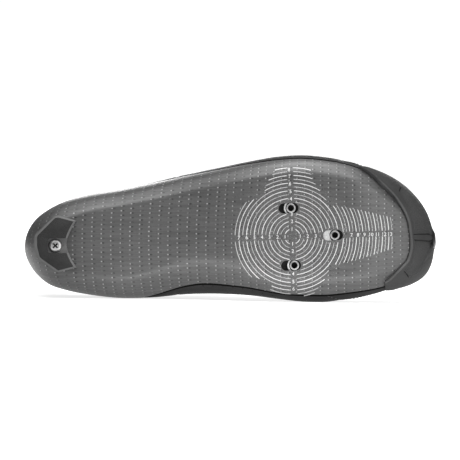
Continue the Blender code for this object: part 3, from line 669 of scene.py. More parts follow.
def carbonFinish(name, withThreads):
    made, tree, shader = newFinish(name, {"Roughness": 0.45, "Coat Weight": 0.35, "Coat Roughness": 0.28})
    place = flatPlace(tree)
    longStreaks = noise(tree, stretched(tree, place, (22.0, 520.0, 1.0)), 1.0, 3.0, 0.6)
    fineStreaks = noise(tree, stretched(tree, place, (70.0, 2600.0, 1.0)), 1.0)
    cloud = noise(tree, place, 38.0)
    share = (longStreaks * 0.5 + fineStreaks * 0.35 + cloud * 0.15).fade(0.3, 0.7)
    colour = mixed(tree, share, grey(carbonLook["dark"]), grey(carbonLook["light"]))
    height = fineStreaks * 0.25
    if withThreads:
        spots = useGroup(tree, threadGroup, Vector=place)
        # the dimples' painted shade and painted highlight, put into the carbon's colour
        colour = mixed(tree, spots["Dark"] * 0.95, colour, grey(carbonLook["hole"]))
        colour = mixed(tree, spots["Light"] * 0.6, colour, grey(carbonLook["spot"]))
        height = height + spots["Light"] - spots["Dark"] * 0.7
        # lighter speckle inside the chart's rings
        ahead, sideways = partsOf(tree, place)[:2]
        offX, offSide = ahead - carbonLook["chartX"], sideways - carbonLook["chartSide"]
        radius = (offX * offX + offSide * offSide).through("SQRT")
        speckle = noise(tree, place, 2400.0, 1.0, 0.4).fade(0.56, 0.72)
        speckle = speckle * radius.fade(carbonLook["speckleFrom"], carbonLook["speckleTo"]) * 0.34
        colour = mixed(tree, speckle, colour, grey(carbonLook["speckle"]))
    dress(tree, shader, colour, height, 0.00010, 0.8, cloud.ranged(0.0, 1.0, 0.40, 0.54))
    return made


def leatherFinish(name, dark, light, scale, roughness, holed=False):
    constants = {"Roughness": roughness, "Coat Weight": 0.04, "Coat Roughness": 0.35, "Specular IOR Level": 0.32}
    made, tree, shader = newFinish(name, constants)
    grain = useGroup(tree, grainGroup, Vector=objectPlace(tree), Scale=scale)
    colour = mixed(tree, grain["Shade"].fade(0.3, 0.7), grey(dark), grey(light))
    height = grain["Height"]
    if holed:
        holes = useGroup(tree, holeGroup, Vector=flatPlace(tree))["Hole"]
        # the holes are painted near-black as painted shade, and pressed in by the bump
        colour = mixed(tree, holes, colour, grey(0.002))
        height = height - holes * 4.0
    rough = grain["Shade"].ranged(0.0, 1.0, roughness - 0.08, roughness + 0.1)
    dress(tree, shader, colour, height, 0.00009, 0.7, rough)
    return made


def clothFinish(name, dark, light, threadCount, mapped):
    made, tree, shader = newFinish(name, {"Roughness": 0.92, "Sheen Weight": 0.25})
    place = flatPlace(tree) if mapped else objectPlace(tree)
    weave = useGroup(tree, weaveGroup, Vector=place, Threads=threadCount)
    # the threads' tops are painted lighter and the gaps between them darker, as painted shade, with a random tone
    # mixed in
    share = weave["Height"] * weave["Shade"].fade(0.2, 0.8)
    dress(tree, shader, mixed(tree, share, grey(dark), grey(light)), weave["Height"], 0.00025, 0.8)
    return made


def rubberFinish(name, dark, light, scale, depth, roughness, shine=0.5):
    made, tree, shader = newFinish(name, {"Roughness": roughness, "Specular IOR Level": shine})
    grain = useGroup(tree, grainGroup, Vector=objectPlace(tree), Scale=scale)
    colour = mixed(tree, grain["Shade"].fade(0.25, 0.75), grey(dark), grey(light))
    dress(tree, shader, colour, grain["Height"], depth, 0.8)
    return made


def steelFinish(name, level, roughness, metallic=1.0):
    made, tree, shader = newFinish(name, {"Roughness": roughness, "Metallic": metallic})
    place = objectPlace(tree)
    wear = noise(tree, place, 900.0, 3.0)
    colour = mixed(tree, wear.fade(0.35, 0.7), grey(level * 0.8), grey(level))
    brushed = noise(tree, stretched(tree, place, (600.0, 600.0, 6000.0)), 1.0)
    dress(tree, shader, colour, brushed, 0.00002, 0.5, wear.ranged(0.0, 1.0, roughness - 0.08, roughness + 0.12))
    return made


def printFinish(name, level, cover):
    # screen print: thin, and worn a little through
    made, tree, shader = newFinish(name, {"Roughness": 0.5})
    worn = noise(tree, objectPlace(tree), 1500.0).fade(0.30, 0.30 + cover)
    feed(tree, shader.inputs["Base Color"], mixed(tree, worn, grey(level * 0.45), grey(level)))
    return made


carbonOuter = carbonFinish("carbonOuter", True)
carbonInner = carbonFinish("carbonInner", False)
# near-black rubber for the rim: painted shadow of the gap where the upper leaves the tub
rimSeal = rubberFinish("rimSeal", 0.002, 0.004, 2500.0, 0.00003, 0.7, 0.03)
upperLeather = leatherFinish("upperLeather", 0.012, 0.019, 1700.0, 0.46, True)
strapLeather = leatherFinish("strapLeather", 0.022, 0.032, 2100.0, 0.42)
liningCloth = clothFinish("liningCloth", 0.012, 0.032, 900.0, False)
insoleCloth = clothFinish("insoleCloth", 0.016, 0.045, 1100.0, True)
tongueCloth = clothFinish("tongueCloth", 0.035, 0.080, 1000.0, True)
moulded = rubberFinish("mouldedRubber", 0.021, 0.028, 2600.0, 0.00004, 0.62, 0.4)
treadFace = rubberFinish("treadFace", 0.021, 0.031, 1150.0, 0.00022, 0.72)
# the heel pad's rim and sides are much lighter than its face: a painted highlight
padEdge = rubberFinish("padEdge", 0.070, 0.090, 2600.0, 0.00004, 0.55)
padFace = rubberFinish("padFace", 0.011, 0.018, 1150.0, 0.00022, 0.75, 0.35)
# near-black rubber for the panels' ends: painted shade
panelGroove = rubberFinish("panelGroove", 0.006, 0.010, 2600.0, 0.00004, 0.7, 0.2)
# lighter rubber along the toe cap's inner edge: a painted highlight
capEdge = rubberFinish("capEdge", 0.036, 0.048, 2600.0, 0.00004, 0.55)
# near-black, glossier rubber for the nose tab: painted shade where it faces away
noseRubber = rubberFinish("noseRubber", 0.006, 0.010, 2600.0, 0.00003, 0.28)
steel = steelFinish("steel", 0.55, 0.34)
# near-black steel for the screw's recess, the nuts' bores and the hollows round their barrels: painted shade
darkSteel = steelFinish("darkSteel", 0.04, 0.55)
platedSteel = steelFinish("platedSteel", 0.85, 0.5, 0.3)
printWhite = printFinish("printWhite", 0.60, 0.12)
printFaint = printFinish("printFaint", 0.42, 0.2)
sewingThread = clothFinish("sewingThread", 0.075, 0.13, 4000.0, False)
print("finishes made")

angles = np.linspace(0, 2 * math.pi, shoe["columns"], endpoint=False)
flatEdge = np.zeros(len(angles))
rimWay = wayAtHeight(angles, around(sidesTable, "rimLateral", "rimMedial", angles) * shoe["rimHeight"])
allColumns = section(angles)


def flatRows(count):
    # from the middle of the sole to just before the edge of its flat
    return rowsBetween(flatEdge - 1, flatEdge, count)[:-1]


# Tub: the carbon sole

tub = {
    "soleRows": 14, "wallRows": 20, "seal": 0.0018, "gapShadeStep": 0.02, "gapShadeRows": 2,
    "rimSteps": 5, "rimLift": 0.0004, "mouth": 0.0004, "cutDepth": 0.02,
}
cleat = {
    "ballAt": 0.70, "slotLength": 0.0135, "slotWidth": 0.0070, "turn": math.radians(2.5), "nutRadius": 0.0032,
    "boreRadius": 0.00215, "sunk": 0.0003, "flange": 0.0016, "flangeHalf": 0.0048,
}
nutTable = (
    ("name", "ahead", "side", "nut", "back", "front"),
    ("front", 0.0165, 0.0053, 0.0013, 0.0092, 0.0050),
    ("rear_lateral", -0.0139, 0.0238, 0.0016, 0.0048, 0.0048),
    ("rear_medial", -0.0122, -0.0154, 0.0023, 0.0048, 0.0048),
)
screw = {
    "x": 0.0214, "side": -0.0018, "headRadius": 0.00425, "headHeight": 0.0020, "dome": 0.0006,
    "shank": 0.0019, "tip": 0.0012, "recessLength": 0.0056, "recessWidth": 0.0014, "recessDepth": 0.0011,
    "rings": ((0.93, 0.9), (0.82, 0.5), (0.66, 0.3), (0.45, 0.2), (0.2, 0.1)),
    "joined": 0.0002, "taper": (0.55, 0.7, 1.0), "edge": 0.00012,
}


def slotX(row):
    return cleat["ballAt"] * shoe["length"] + row[1]


def flatMapOf(points, start):
    # the wall unrolled outwards from the edge of the flat sole, so patterns run on over it
    steps = np.linalg.norm(np.diff(points[start:], axis=0), axis=-1)
    far = np.concatenate([np.zeros((1, points.shape[1])), np.cumsum(steps, axis=0)])
    mapped = np.stack([points[..., 0], -points[..., 1]], -1)
    out = np.stack([allColumns["outX"], allColumns["outSide"]], -1)
    mapped[start:] = mapped[start][None] + out[None] * far[..., None]
    return mapped


def slotCutter(x, side, low):
    # a slot's shape with a slightly wider mouth at the sole
    length, width, mouth = cleat["slotLength"], cleat["slotWidth"], tub["mouth"]
    bottom = (mouth - tub["cutDepth"]) / 2
    cutter = cylinder("cutter", width / 2, bottom, -bottom, 64)
    half = (length - width) / 2
    editing(cutter)
    parted(cutter, half, half)
    selectParts(cutter, "faces", lambda at, part: at.z < bottom + tiny)
    pulled(-mouth)
    bpy.ops.transform.resize(value=((length + mouth * 2) / length, (width + mouth * 2) / width, 1))
    pulled(-tub["cutDepth"])
    doneEditing()
    return placed(cutter, x, -side, low + mouth - bottom, -cleat["turn"])


def screwHole(low, high, finish=None):
    return cylinder("cutter", screw["shank"] + shoe["gap"], low, high, 48, finish, screw["x"], -screw["side"])


def makeTub():
    # the near-black band along the rim is painted shadow of the gap between tub and upper, as wide all round
    nearRim = rimWay - tub["gapShadeStep"]
    pace = np.linalg.norm(form(angles, rimWay) - form(angles, nearRim), axis=-1) / tub["gapShadeStep"]
    gapShadeWay, gapShadeRowCount = rimWay - tub["seal"] / pace, tub["gapShadeRows"]
    wall, seal = rowsBetween(flatEdge, gapShadeWay, tub["wallRows"]), rowsBetween(gapShadeWay, rimWay, gapShadeRowCount)
    ways = np.concatenate([flatRows(tub["soleRows"]), wall, seal[1:]])
    outer, inner = lattice(angles, ways, 0.0), lattice(angles, ways, -shoe["tubWall"])
    rim = rollOver(outer[-1], inner[-1], outer[-2], tub["rimLift"], tub["rimSteps"])
    # the last rows of the outer wall and the rolled rim take the painted shadow
    looks = [0] * (len(outer) - 1 - gapShadeRowCount) + [1] * (len(rim) + 1 + gapShadeRowCount) + [2] * len(inner)
    finishes, mapped = (carbonOuter, rimSeal, carbonInner), flatMapOf(outer, tub["soleRows"])
    made = wallPiece("tub_shell", outer, rim, inner, finishes, mapped, looks)
    # a copy is kept uncut, for the print to lie on
    whole = linked("printing_form", made.data.copy())
    for row in nutTable[1:]:
        cutWith(made, slotCutter(slotX(row), row[2], soleHeight(slotX(row))))
    cutWith(made, screwHole(0.0, tub["cutDepth"]))
    smoothed(made, 35)
    return made, whole


tubShell, printingForm = makeTub()

# Upper: one hollow wall on the last

upper = {
    "bandShare": 0.35, "bandLimit": 1.6, "bandRows": 8, "upperRows": 62, "turnedRows": 16, "turnedFrom": 0.2,
    "padding": 0.0030, "paddingEnd": 0.36, "paddedFrom": 1 / 7, "paddedTo": 4 / 7, "rollSteps": 7, "rollLift": 0.42,
    "throatTop": 0.46, "throatFront": 0.655, "throatHalfTop": 0.015, "throatHalfFront": 0.010,
    "throatRoundness": 6, "throatTaper": (-0.66, -0.46), "collarBlend": 0.08,
    "panelRaise": 0.0006, "panelEdge": 0.0008, "heelPanelEnd": 0.34, "toePanelStart": 0.66,
    "facingWidth": 0.013, "facingStart": 0.40, "facingBlend": (0.42, 0.47),
    "collarBand": 0.015, "collarEnd": (0.40, 0.46), "collarRoll": 0.0011,
    "channelDepth": 0.0006, "channelWidth": 0.0011,
    "seamX": 0.118, "seamLean": 0.30, "seamDepth": 0.0005, "seamWidth": 0.0010, "seamFrom": (0.002, 0.008),
    "creaseDepth": 0.0009, "creaseLean": 0.10, "creaseTop": (1.12, 1.45), "creaseSway": 0.0016, "swayPace": 95,
    "swayTurn": 300, "bulgeShare": 0.45, "bulgeAfter": 0.0062, "unevenness": 0.00018, "unevenFrom": (1.0, 1.2),
}
# creases across the toes: place, share of the depth and width
creases = ((0.200, 0.8, 0.0042), (0.211, 1.0, 0.0048), (0.223, 0.7, 0.0040))
collarTable = (
    ("share", "height"),
    (0.00, 0.88), (0.05, 0.86), (0.12, 0.77), (0.20, 0.70), (0.28, 0.71), (0.36, 0.80), (0.46, 0.90),
)
# top edges of the heel and toe panels above the sole
heelPanelTable = (
    ("share", "height"),
    (0.00, 0.051), (0.08, 0.048), (0.16, 0.039), (0.24, 0.027), (0.30, 0.015), (0.34, 0.004),
)
toePanelTable = (
    ("share", "height"),
    (0.66, 0.002), (0.72, 0.010), (0.80, 0.018), (0.88, 0.024), (0.95, 0.0275), (1.00, 0.029),
)


def openingWay(angle):
    s = section(angle)
    height = along(collarTable, "height", np.minimum(s["share"], collarTable[-1][0])) * shoe["instepHeight"]
    rise = np.clip((height - s["widest"]) / (s["crown"] - s["widest"]), 0, 1)
    collar = 1 + np.arcsin(rise) / (math.pi / 2)
    down = np.clip((s["share"] - upper["throatTop"]) / (upper["throatFront"] - upper["throatTop"]), 0, 1)
    half = upper["throatHalfTop"] + (upper["throatHalfFront"] - upper["throatHalfTop"]) * down
    throat = wayAtHalfWidth(angle, half * np.sqrt(1 - down ** upper["throatRoundness"]))
    blend = ramp(s["share"], upper["throatTop"] - upper["collarBlend"], upper["throatTop"])
    return collar + (throat - collar) * blend


def upperFields(points):
    # distances over the surface that its panels, seams and creases are drawn from
    x, side = points[..., 0], -points[..., 1]
    share = x / shoe["length"]
    high = points[..., 2] - soleLine(x)
    steps = np.linalg.norm(np.diff(points, axis=0), axis=-1)
    down = np.concatenate([np.cumsum(steps[::-1], axis=0)[::-1], np.zeros((1, points.shape[1]))])
    onSpine = np.clip(share, shoe["spineHeel"], shoe["spineToe"])
    ridgeSide = side - along(crownTable, "ridge", onSpine) * shoe["ballWidth"]
    front = upper["throatFront"] * shoe["length"] - upper["throatHalfFront"]
    fromThroat = np.hypot(np.maximum(x - front, 0), ridgeSide) - upper["throatHalfFront"]
    taper = ramp(-share, *upper["throatTaper"])
    fromThroat = fromThroat - (upper["throatHalfTop"] - upper["throatHalfFront"]) * taper
    return {
        "share": share,
        "down": down,
        "heel": high - along(heelPanelTable, "height", np.clip(share, 0, upper["heelPanelEnd"])),
        "toe": high - along(toePanelTable, "height", np.clip(share, upper["toePanelStart"], 1)),
        "facing": np.where(share > upper["facingStart"], fromThroat, 1.0),
        "acrossX": x - upper["creaseLean"] * ridgeSide,
        "ridgeSide": ridgeSide,
        "side": side,
    }


def upperRelief(f, ways):
    share, edge, raised = f["share"], upper["panelEdge"], upper["panelRaise"]
    relief = raised * ramp(-f["heel"], -edge, edge) * (share < upper["heelPanelEnd"])
    relief = relief + raised * ramp(-f["toe"], -edge, edge) * (share > upper["toePanelStart"])
    facing = ramp(-f["facing"], -upper["facingWidth"] - edge, -upper["facingWidth"] + edge)
    relief = relief + raised * facing * ramp(share, *upper["facingBlend"])
    # soft roll below the collar line, with its sewn channel
    roll = np.sin(np.pi * np.clip(f["down"] / upper["collarBand"], 0, 1)) ** 2
    channel = hump(f["down"], upper["collarBand"], upper["channelWidth"])
    collared = upper["collarRoll"] * roll - upper["channelDepth"] * channel
    relief = relief + (1 - ramp(share, *upper["collarEnd"])) * collared
    # quarter seams down both sides, from the collar's front to the rim
    seam = hump(share * shoe["length"], upper["seamX"] - upper["seamLean"] * f["down"], upper["seamWidth"])
    relief = relief - upper["seamDepth"] * seam * ramp(f["down"], *upper["seamFrom"]) * (ways < 1.97)
    # flexing creases over the toes, each with a low bulge ahead of it
    top = ramp(ways, *upper["creaseTop"])
    for place, depth, wide in creases:
        sway = np.sin(f["ridgeSide"] * upper["swayPace"] + place * upper["swayTurn"])
        swayed = f["acrossX"] + upper["creaseSway"] * sway
        relief = relief - upper["creaseDepth"] * depth * hump(swayed, place, wide) * top
        bulge = hump(swayed, place + upper["bulgeAfter"], wide)
        relief = relief + upper["bulgeShare"] * upper["creaseDepth"] * depth * bulge * top
    # hand-lasted leather is never quite even
    slow, cross = np.sin(f["side"] * 210 + share * 37), np.sin(share * 61 + 1.3)
    return relief + upper["unevenness"] * slow * cross * ramp(ways, *upper["unevenFrom"])


def makeUpper():
    edgeWay = openingWay(angles)
    bandWay = rimWay + upper["bandShare"] * (np.minimum(edgeWay, upper["bandLimit"]) - rimWay)
    turned = rowsBetween(rimWay * upper["turnedFrom"], rimWay, upper["turnedRows"])
    band = rowsBetween(rimWay, bandWay, upper["bandRows"])
    ways = np.concatenate([turned, band[1:], rowsBetween(bandWay, edgeWay, upper["upperRows"])[1:]])
    below, above = len(turned), upper["upperRows"]
    sunk = shoe["tubWall"] + shoe["gap"]
    rising = sunk * (1 - ramp(np.arange(1, upper["bandRows"] + 1), 0, upper["bandRows"]))
    inset = np.concatenate([np.full(below, sunk), rising, np.zeros(above)])[:, None]
    nearEdge = ramp(np.arange(1, above + 1), upper["paddedFrom"] * above, upper["paddedTo"] * above)
    nearEdge = np.concatenate([np.zeros(below + upper["bandRows"]), nearEdge])[:, None]
    atHeel = 1 - ramp(allColumns["share"], shoe["seatEnd"], upper["paddingEnd"])
    padding = upper["padding"] * nearEdge * atHeel[None]
    fields = upperFields(lattice(angles, ways, -inset + 0 * ways))
    shown = np.clip(np.arange(len(ways)) - below, 0, 3)[:, None] / 3  # none where it's inside the tub
    outer = lattice(angles, ways, -inset + upperRelief(fields, ways) * shown)
    # pressed flat where it lies on the floor
    floorward = np.array(lying["down"])
    under = np.maximum(outer @ floorward - lying["shift"][2], 0)
    outer = outer - under[..., None] * floorward
    inner = lattice(angles, ways, -inset - shoe["upperWall"] - padding)
    isOpen = edgeWay < 2 - tiny
    lift = np.where(isOpen, np.linalg.norm(outer[-1] - inner[-1], axis=-1) * upper["rollLift"], 0.0)
    roll = rollOver(outer[-1], inner[-1], outer[-3], lift, upper["rollSteps"])
    rows = np.concatenate([outer, roll, inner[::-1]])
    drop = np.zeros(rows.shape[:2], bool)
    drop[len(outer) - 1 : len(outer) + len(roll)] = (~isOpen & ~np.roll(isOpen, -1))[None]
    looks = [0] * (len(outer) + len(roll) - 2) + [1] * (len(inner) + 2)
    mapped = np.stack([rows[..., 0], rows[..., 2] - soleLine(rows[..., 0])], -1)
    finishes = (upperLeather, liningCloth)
    made = gridPiece("upper_shell", rows, finishes, mapped, closedRows=True, drop=drop, looks=looks)
    return made, outer, fields


upperShell, upperSkin, upperField = makeUpper()

stitching = {"length": 0.0019, "spacing": 0.0027, "radius": 0.00024, "proud": 0.00006, "aim": 1e-4}


def surfaceLine(points, field, level, columns):
    # the line where a field reaches a level, one point for each column, with its outward direction
    found, normals = [], []
    for place in columns:
        place = place % points.shape[1]
        values = field[:, place] - level
        crossing = np.nonzero(np.diff(np.sign(values)) != 0)[0]
        if len(crossing):
            row = crossing[-1]
            share = values[row] / (values[row] - values[row + 1])
            found.append(points[row, place] * (1 - share) + points[row + 1, place] * share)
            ahead = points[row, (place + 1) % points.shape[1]] - points[row, place - 1]
            normals.append(np.cross(ahead, points[row + 1, place] - points[row, place]))
    return np.array(found), unit(np.array(normals))


def stitchesAlong(line, normals):
    # middles and directions of stitches at even steps along a line
    far = lengthAlong(line)
    at = np.arange(stitching["spacing"] / 2, far[-1], stitching["spacing"])

    def between(values, at):
        return np.stack([np.interp(at, far, values[:, i]) for i in range(3)], -1)

    ahead = unit(between(line, at + stitching["aim"]) - between(line, at - stitching["aim"]))
    return list(zip(between(line, at), ahead, unit(between(normals, at))))


def sewn(name, stitches, slot):
    # one stitch is modelled once and repeated, its middle high and its ends sunk in the holes
    bpy.ops.mesh.primitive_uv_sphere_add(segments=6, ring_count=5, radius=1.0)
    one = added("one_stitch")
    corners = np.array([vert.co for vert in one.data.vertices])
    faces = [list(face.vertices) for face in one.data.polygons]
    bpy.data.objects.remove(one, do_unlink=True)
    radius, points, allFaces = stitching["radius"], [], []
    for middle, ahead, out in stitches:
        across = np.cross(out, ahead)
        sink = stitching["proud"] - 0.9 * radius * corners[:, 2] ** 4
        shape = corners[:, 2:3] * stitching["length"] / 2 * ahead + corners[:, 0:1] * radius * across
        allFaces += [[corner + len(points) * len(corners) for corner in face] for face in faces]
        points.append(middle + (shape + (corners[:, 1:2] * radius + sink[:, None]) * out))
    piece = meshPiece(name, np.concatenate(points).tolist(), allFaces, sewingThread)
    editing(piece)
    facesOut()
    doneEditing()
    smoothed(piece, 80)
    layDown(piece, "root", slot)


# field, level and columns of each seam's line
toeColumn = shoe["columns"] // 2
seams = (
    ("heel", -0.0017, range(-118, 119)),
    ("heel", -0.0045, range(-118, 119)),
    ("toe", -0.0017, range(toeColumn - 110, toeColumn + 111)),
    ("facing", 0.0024, range(114, 367)),
    ("facing", upper["facingWidth"] - 0.0016, range(114, 367)),
    ("down", upper["collarBand"] + 0.0022, range(-112, 113)),
)
upperStitches = []
for field, level, columns in seams:
    upperStitches += stitchesAlong(*surfaceLine(upperSkin, upperField[field], level, columns))
layDown(upperShell, "root", "upper", "upper")
sewn("upper_stitching", upperStitches, "upper")

# Insole

insole = {"thickness": 0.003, "soleRows": 10, "wallRows": 6, "reach": 0.4, "rollLift": 0.0008, "rollSteps": 3}


def makeInsole():
    wall = rowsBetween(flatEdge, rimWay * insole["reach"], insole["wallRows"])
    ways = np.concatenate([flatRows(insole["soleRows"]), wall])
    under = -(shoe["tubWall"] + 2 * shoe["gap"] + shoe["upperWall"])
    outer, inner = lattice(angles, ways, under), lattice(angles, ways, under - insole["thickness"])
    roll = rollOver(outer[-1], inner[-1], outer[-2], insole["rollLift"], insole["rollSteps"])
    return wallPiece("insole_bed", outer, roll, inner, (insoleCloth,), flatMapOf(outer, insole["soleRows"]))


layDown(makeInsole(), "root", "lining", "insole")

# Tongue and straps

tongue = {
    "front": 0.73, "top": 0.385, "halfWidth": 0.027, "rounding": 0.03, "narrowing": 0.65,
    "clearance": 0.0015, "thickness": 0.0035, "rows": 84, "steps": 40, "puff": 0.0011, "border": 0.0007,
}
strap = {
    "thickness": 0.0018, "width": 0.022, "lateral": 0.036, "medial": 0.028, "rounding": 0.010,
    "roundness": 0.98, "rows": 22, "steps": 72, "border": 0.0024, "edge": 0.0005,
    "raise": 0.0003, "raiseFrom": -0.0004, "raiseTo": 0.0008, "groove": 0.0002, "grooveWidth": 0.0005, "boxAt": 5,
}
strapPlaces = {"strap_lower": 0.625, "strap_middle": 0.545, "strap_upper": 0.465}


def acrossCrown(shares, lateral, medial, offset, steps):
    rows = []
    for place, (share, outLateral, outMedial) in enumerate(zip(shares, lateral, medial)):
        angle = math.acos(1 - 2 * share)
        widths = np.linspace(-outLateral, outMedial, steps + 1)
        sideAngle = np.where(widths <= 0, angle, 2 * math.pi - angle)
        way = np.where(np.abs(widths) < 1e-9, 2.0, wayAtHalfWidth(sideAngle, np.abs(widths)))
        rows.append(lattice(sideAngle, way, offset[place] if np.ndim(offset) == 2 else offset))
    return np.array(rows)


def sheetPiece(name, outer, inner, finish):
    # a flat padded piece: two skins joined all round, mapped by their lengths
    count, across = outer.shape[:2]
    out, down = lengthAlong(outer[count // 2]), lengthAlong(outer[:, across // 2])
    mapped = np.stack(np.broadcast_arrays(out[None, :], down[:, None]), -1)
    return capPiece(name, outer, inner, (finish,), flatMap=np.concatenate([mapped, mapped[::-1]]))


def makeTongue():
    shares = np.linspace(tongue["front"], tongue["top"], tongue["rows"] + 1)
    nearTop = np.clip((tongue["top"] + tongue["rounding"] - shares) / tongue["rounding"], 0, 1)
    halfWidth = tongue["halfWidth"] * np.sqrt(1 - (tongue["narrowing"] * nearTop) ** 2)
    under = -(shoe["upperWall"] + tongue["clearance"])
    u = np.abs(np.linspace(-1, 1, tongue["steps"] + 1))[None, :]
    v = np.linspace(0, 1, tongue["rows"] + 1)[:, None]
    # three foam channels run along it, and it thins to its borders
    channels = hump(u, 0.36, 0.05) + hump(u, 0.84, 0.04)
    border = ramp(1 - u, 0.0, 0.14) * ramp(1 - v, 0.0, 0.05)
    puff = tongue["puff"] * border * (1 - np.minimum(channels, 1)) - tongue["border"]
    outer = acrossCrown(shares, halfWidth, halfWidth, under + puff, tongue["steps"])
    inner = acrossCrown(shares, halfWidth, halfWidth, under - tongue["thickness"] - 0.5 * puff, tongue["steps"])
    made = sheetPiece("tongue_pad", outer, inner, tongueCloth)
    smoothed(made, 60)
    return made


def makeStrap(name, share):
    halfShare = strap["width"] / 2 / shoe["length"]
    shares = np.linspace(share + halfShare, share - halfShare, strap["rows"] + 1)
    spread = np.linspace(-1, 1, strap["rows"] + 1)
    lateral = strap["lateral"] - strap["rounding"] * (1 - np.sqrt(1 - (strap["roundness"] * spread) ** 2))
    medial = np.full(strap["rows"] + 1, strap["medial"])
    u = np.linspace(0, 1, strap["steps"] + 1)[None, :]
    v = np.abs(spread)[:, None]
    # the border is pressed down by its seam, and the strap is slightly domed over the throat
    border, whole = strap["border"], strap["lateral"] + strap["medial"]
    fromEdge = np.minimum((1 - v) * strap["width"] / 2, np.minimum(u, 1 - u) * whole)
    relief = strap["raise"] * ramp(fromEdge, border + strap["raiseFrom"], border + strap["raiseTo"])
    relief = relief - strap["groove"] * hump(fromEdge, border, strap["grooveWidth"])
    low = 2 * shoe["gap"]
    outer = acrossCrown(shares, lateral, medial, low + strap["thickness"] + relief, strap["steps"])
    inner = acrossCrown(shares, lateral, medial, low, strap["steps"])
    made = sheetPiece(name + "_leather", outer, inner, strapLeather)
    bevelled(made, strap["edge"], 50)
    smoothed(made, 60)
    # stitches round the border, and the line that sews the strap's inner end down
    rows, across = outer.shape[:2]
    first, left = round(border / strap["width"] * strap["rows"]), round(border / whole * strap["steps"])
    last, right = rows - 1 - first, across - 1 - left
    loop = [(first, c) for c in range(left, right + 1)] + [(r, right) for r in range(first, last + 1)]
    loop += [(last, c) for c in range(right, left - 1, -1)] + [(r, left) for r in range(last, first - 1, -1)]
    found = []
    for path in (loop, [(r, across - 1 - strap["boxAt"] * left) for r in range(first, last + 1)]):
        out = []
        for r, c in path:
            r, c = min(max(r, 1), rows - 2), min(max(c, 1), across - 2)
            out.append(np.cross(outer[r, c + 1] - outer[r, c - 1], outer[r + 1, c] - outer[r - 1, c]))
        found += stitchesAlong(np.array([outer[r, c] for r, c in path]), unit(np.array(out)))
    return made, found


tonguePad = makeTongue()
layDown(tonguePad, "root", "lining", "tongue")
strapStitches = []
for name, share in strapPlaces.items():
    strapPiece, found = makeStrap(name, share)
    strapStitches += found
    layDown(strapPiece, "root", "strap", name)
sewn("strap_stitching", strapStitches, "strap")

# Toe bumper: rubber cap with two sunk panels

bumper = {
    "reach": 0.0155, "top": 0.0160, "rubber": 0.0021, "noseProud": 0.0013, "noseHalf": 0.006,
    "noseStart": 0.45, "noseEnd": 0.75, "noseFrom": 0.9, "noseShadeFrom": 0.2792, "noseSide": 0.0026,
    "panelDepth": 0.0009, "panelSlope": 0.0006, "panelBlend": (0.1, 0.55), "columnWidth": 0.0042,
    "rows": 44, "stepsPerColumn": 8, "panelRows": 16, "start": 26.0, "end": 43.8, "cadColumns": 72,
    "endThinner": 0.0009, "endSteps": 5, "edgeDrop": 0.0006, "edgeRound": 0.035, "lip": 0.00022,
    "lipAt": 0.055, "lipWidth": 0.022, "shoulders": ((28.6, 3.0, 0.0017), (39.6, 2.6, 0.0014)), "shoulderWay": 0.3,
}
# columns from and to, margins to the cap's inner edge and to its outline, each at both ends
bumperPanels = (
    (29.6, 35.0, (0.0045, 0.0027), (0.0025, 0.0024)),
    (35.95, 41.1, (0.0029, 0.0031), (0.0022, 0.0048)),
)
toeCapTable = (
    ("share", "lateral", "medial", "top"),
    (0.800, 0.10, 0.10, 0.45),
    (0.850, 0.27, 0.20, 0.60),
    (0.872, 0.42, 0.27, 0.67),
    (0.889, 0.48, 0.36, 0.73),
    (0.905, 0.53, 0.46, 0.78),
    (0.919, 0.56, 0.55, 0.82),
    (0.933, 0.61, 0.645, 0.86),
    (0.957, 0.695, 0.775, 0.92),
    (0.976, 0.79, 0.845, 0.97),
    (0.989, 0.865, 0.92, 0.99),
    (1.000, 0.96, 0.96, 1.00),
)


def toeCapLines(angle):
    share = np.maximum(section(angle)["share"], toeCapTable[1][0])
    lateral, medial, top = (along(toeCapTable, name, share) for name in toeCapTable[0][1:])
    reach = np.where(angle <= math.pi, lateral, medial) * bumper["reach"]
    return wayInFromSide(angle, reach), wayAtHeight(angle, top * bumper["top"])


def columnAngles(start, end, wider=0.0):
    count = round((end - start) * bumper["stepsPerColumn"])
    aside = wider / bumper["columnWidth"]
    return np.linspace(start - aside, end + aside, count + 1) * 2 * math.pi / bumper["cadColumns"]


def shoulders(at, ways):
    # the rubber is fuller outside at both shoulders of the toe
    place = at * bumper["cadColumns"] / (2 * math.pi)
    fuller = sum(high * hump(place, centre, wide) for centre, wide, high in bumper["shoulders"])
    return fuller * ramp(ways, 0, bumper["shoulderWay"])


def panelSkin(start, end, margins, outs, wider, height):
    at = columnAngles(start, end, wider)
    share = np.linspace(0, 1, len(at))
    out = outs[0] + (outs[1] - outs[0]) * ramp(share, *bumper["panelBlend"]) - wider
    margin = margins[0] + (margins[1] - margins[0]) * share - wider
    inWay = wayInFromSide(at, wayDistance(at, toeCapLines(at)[0]) - margin)
    ways = rowsBetween(inWay, wayInFromSide(at, out), bumper["panelRows"])
    return lattice(at, ways, shoe["gap"] + height + shoulders(at, ways))


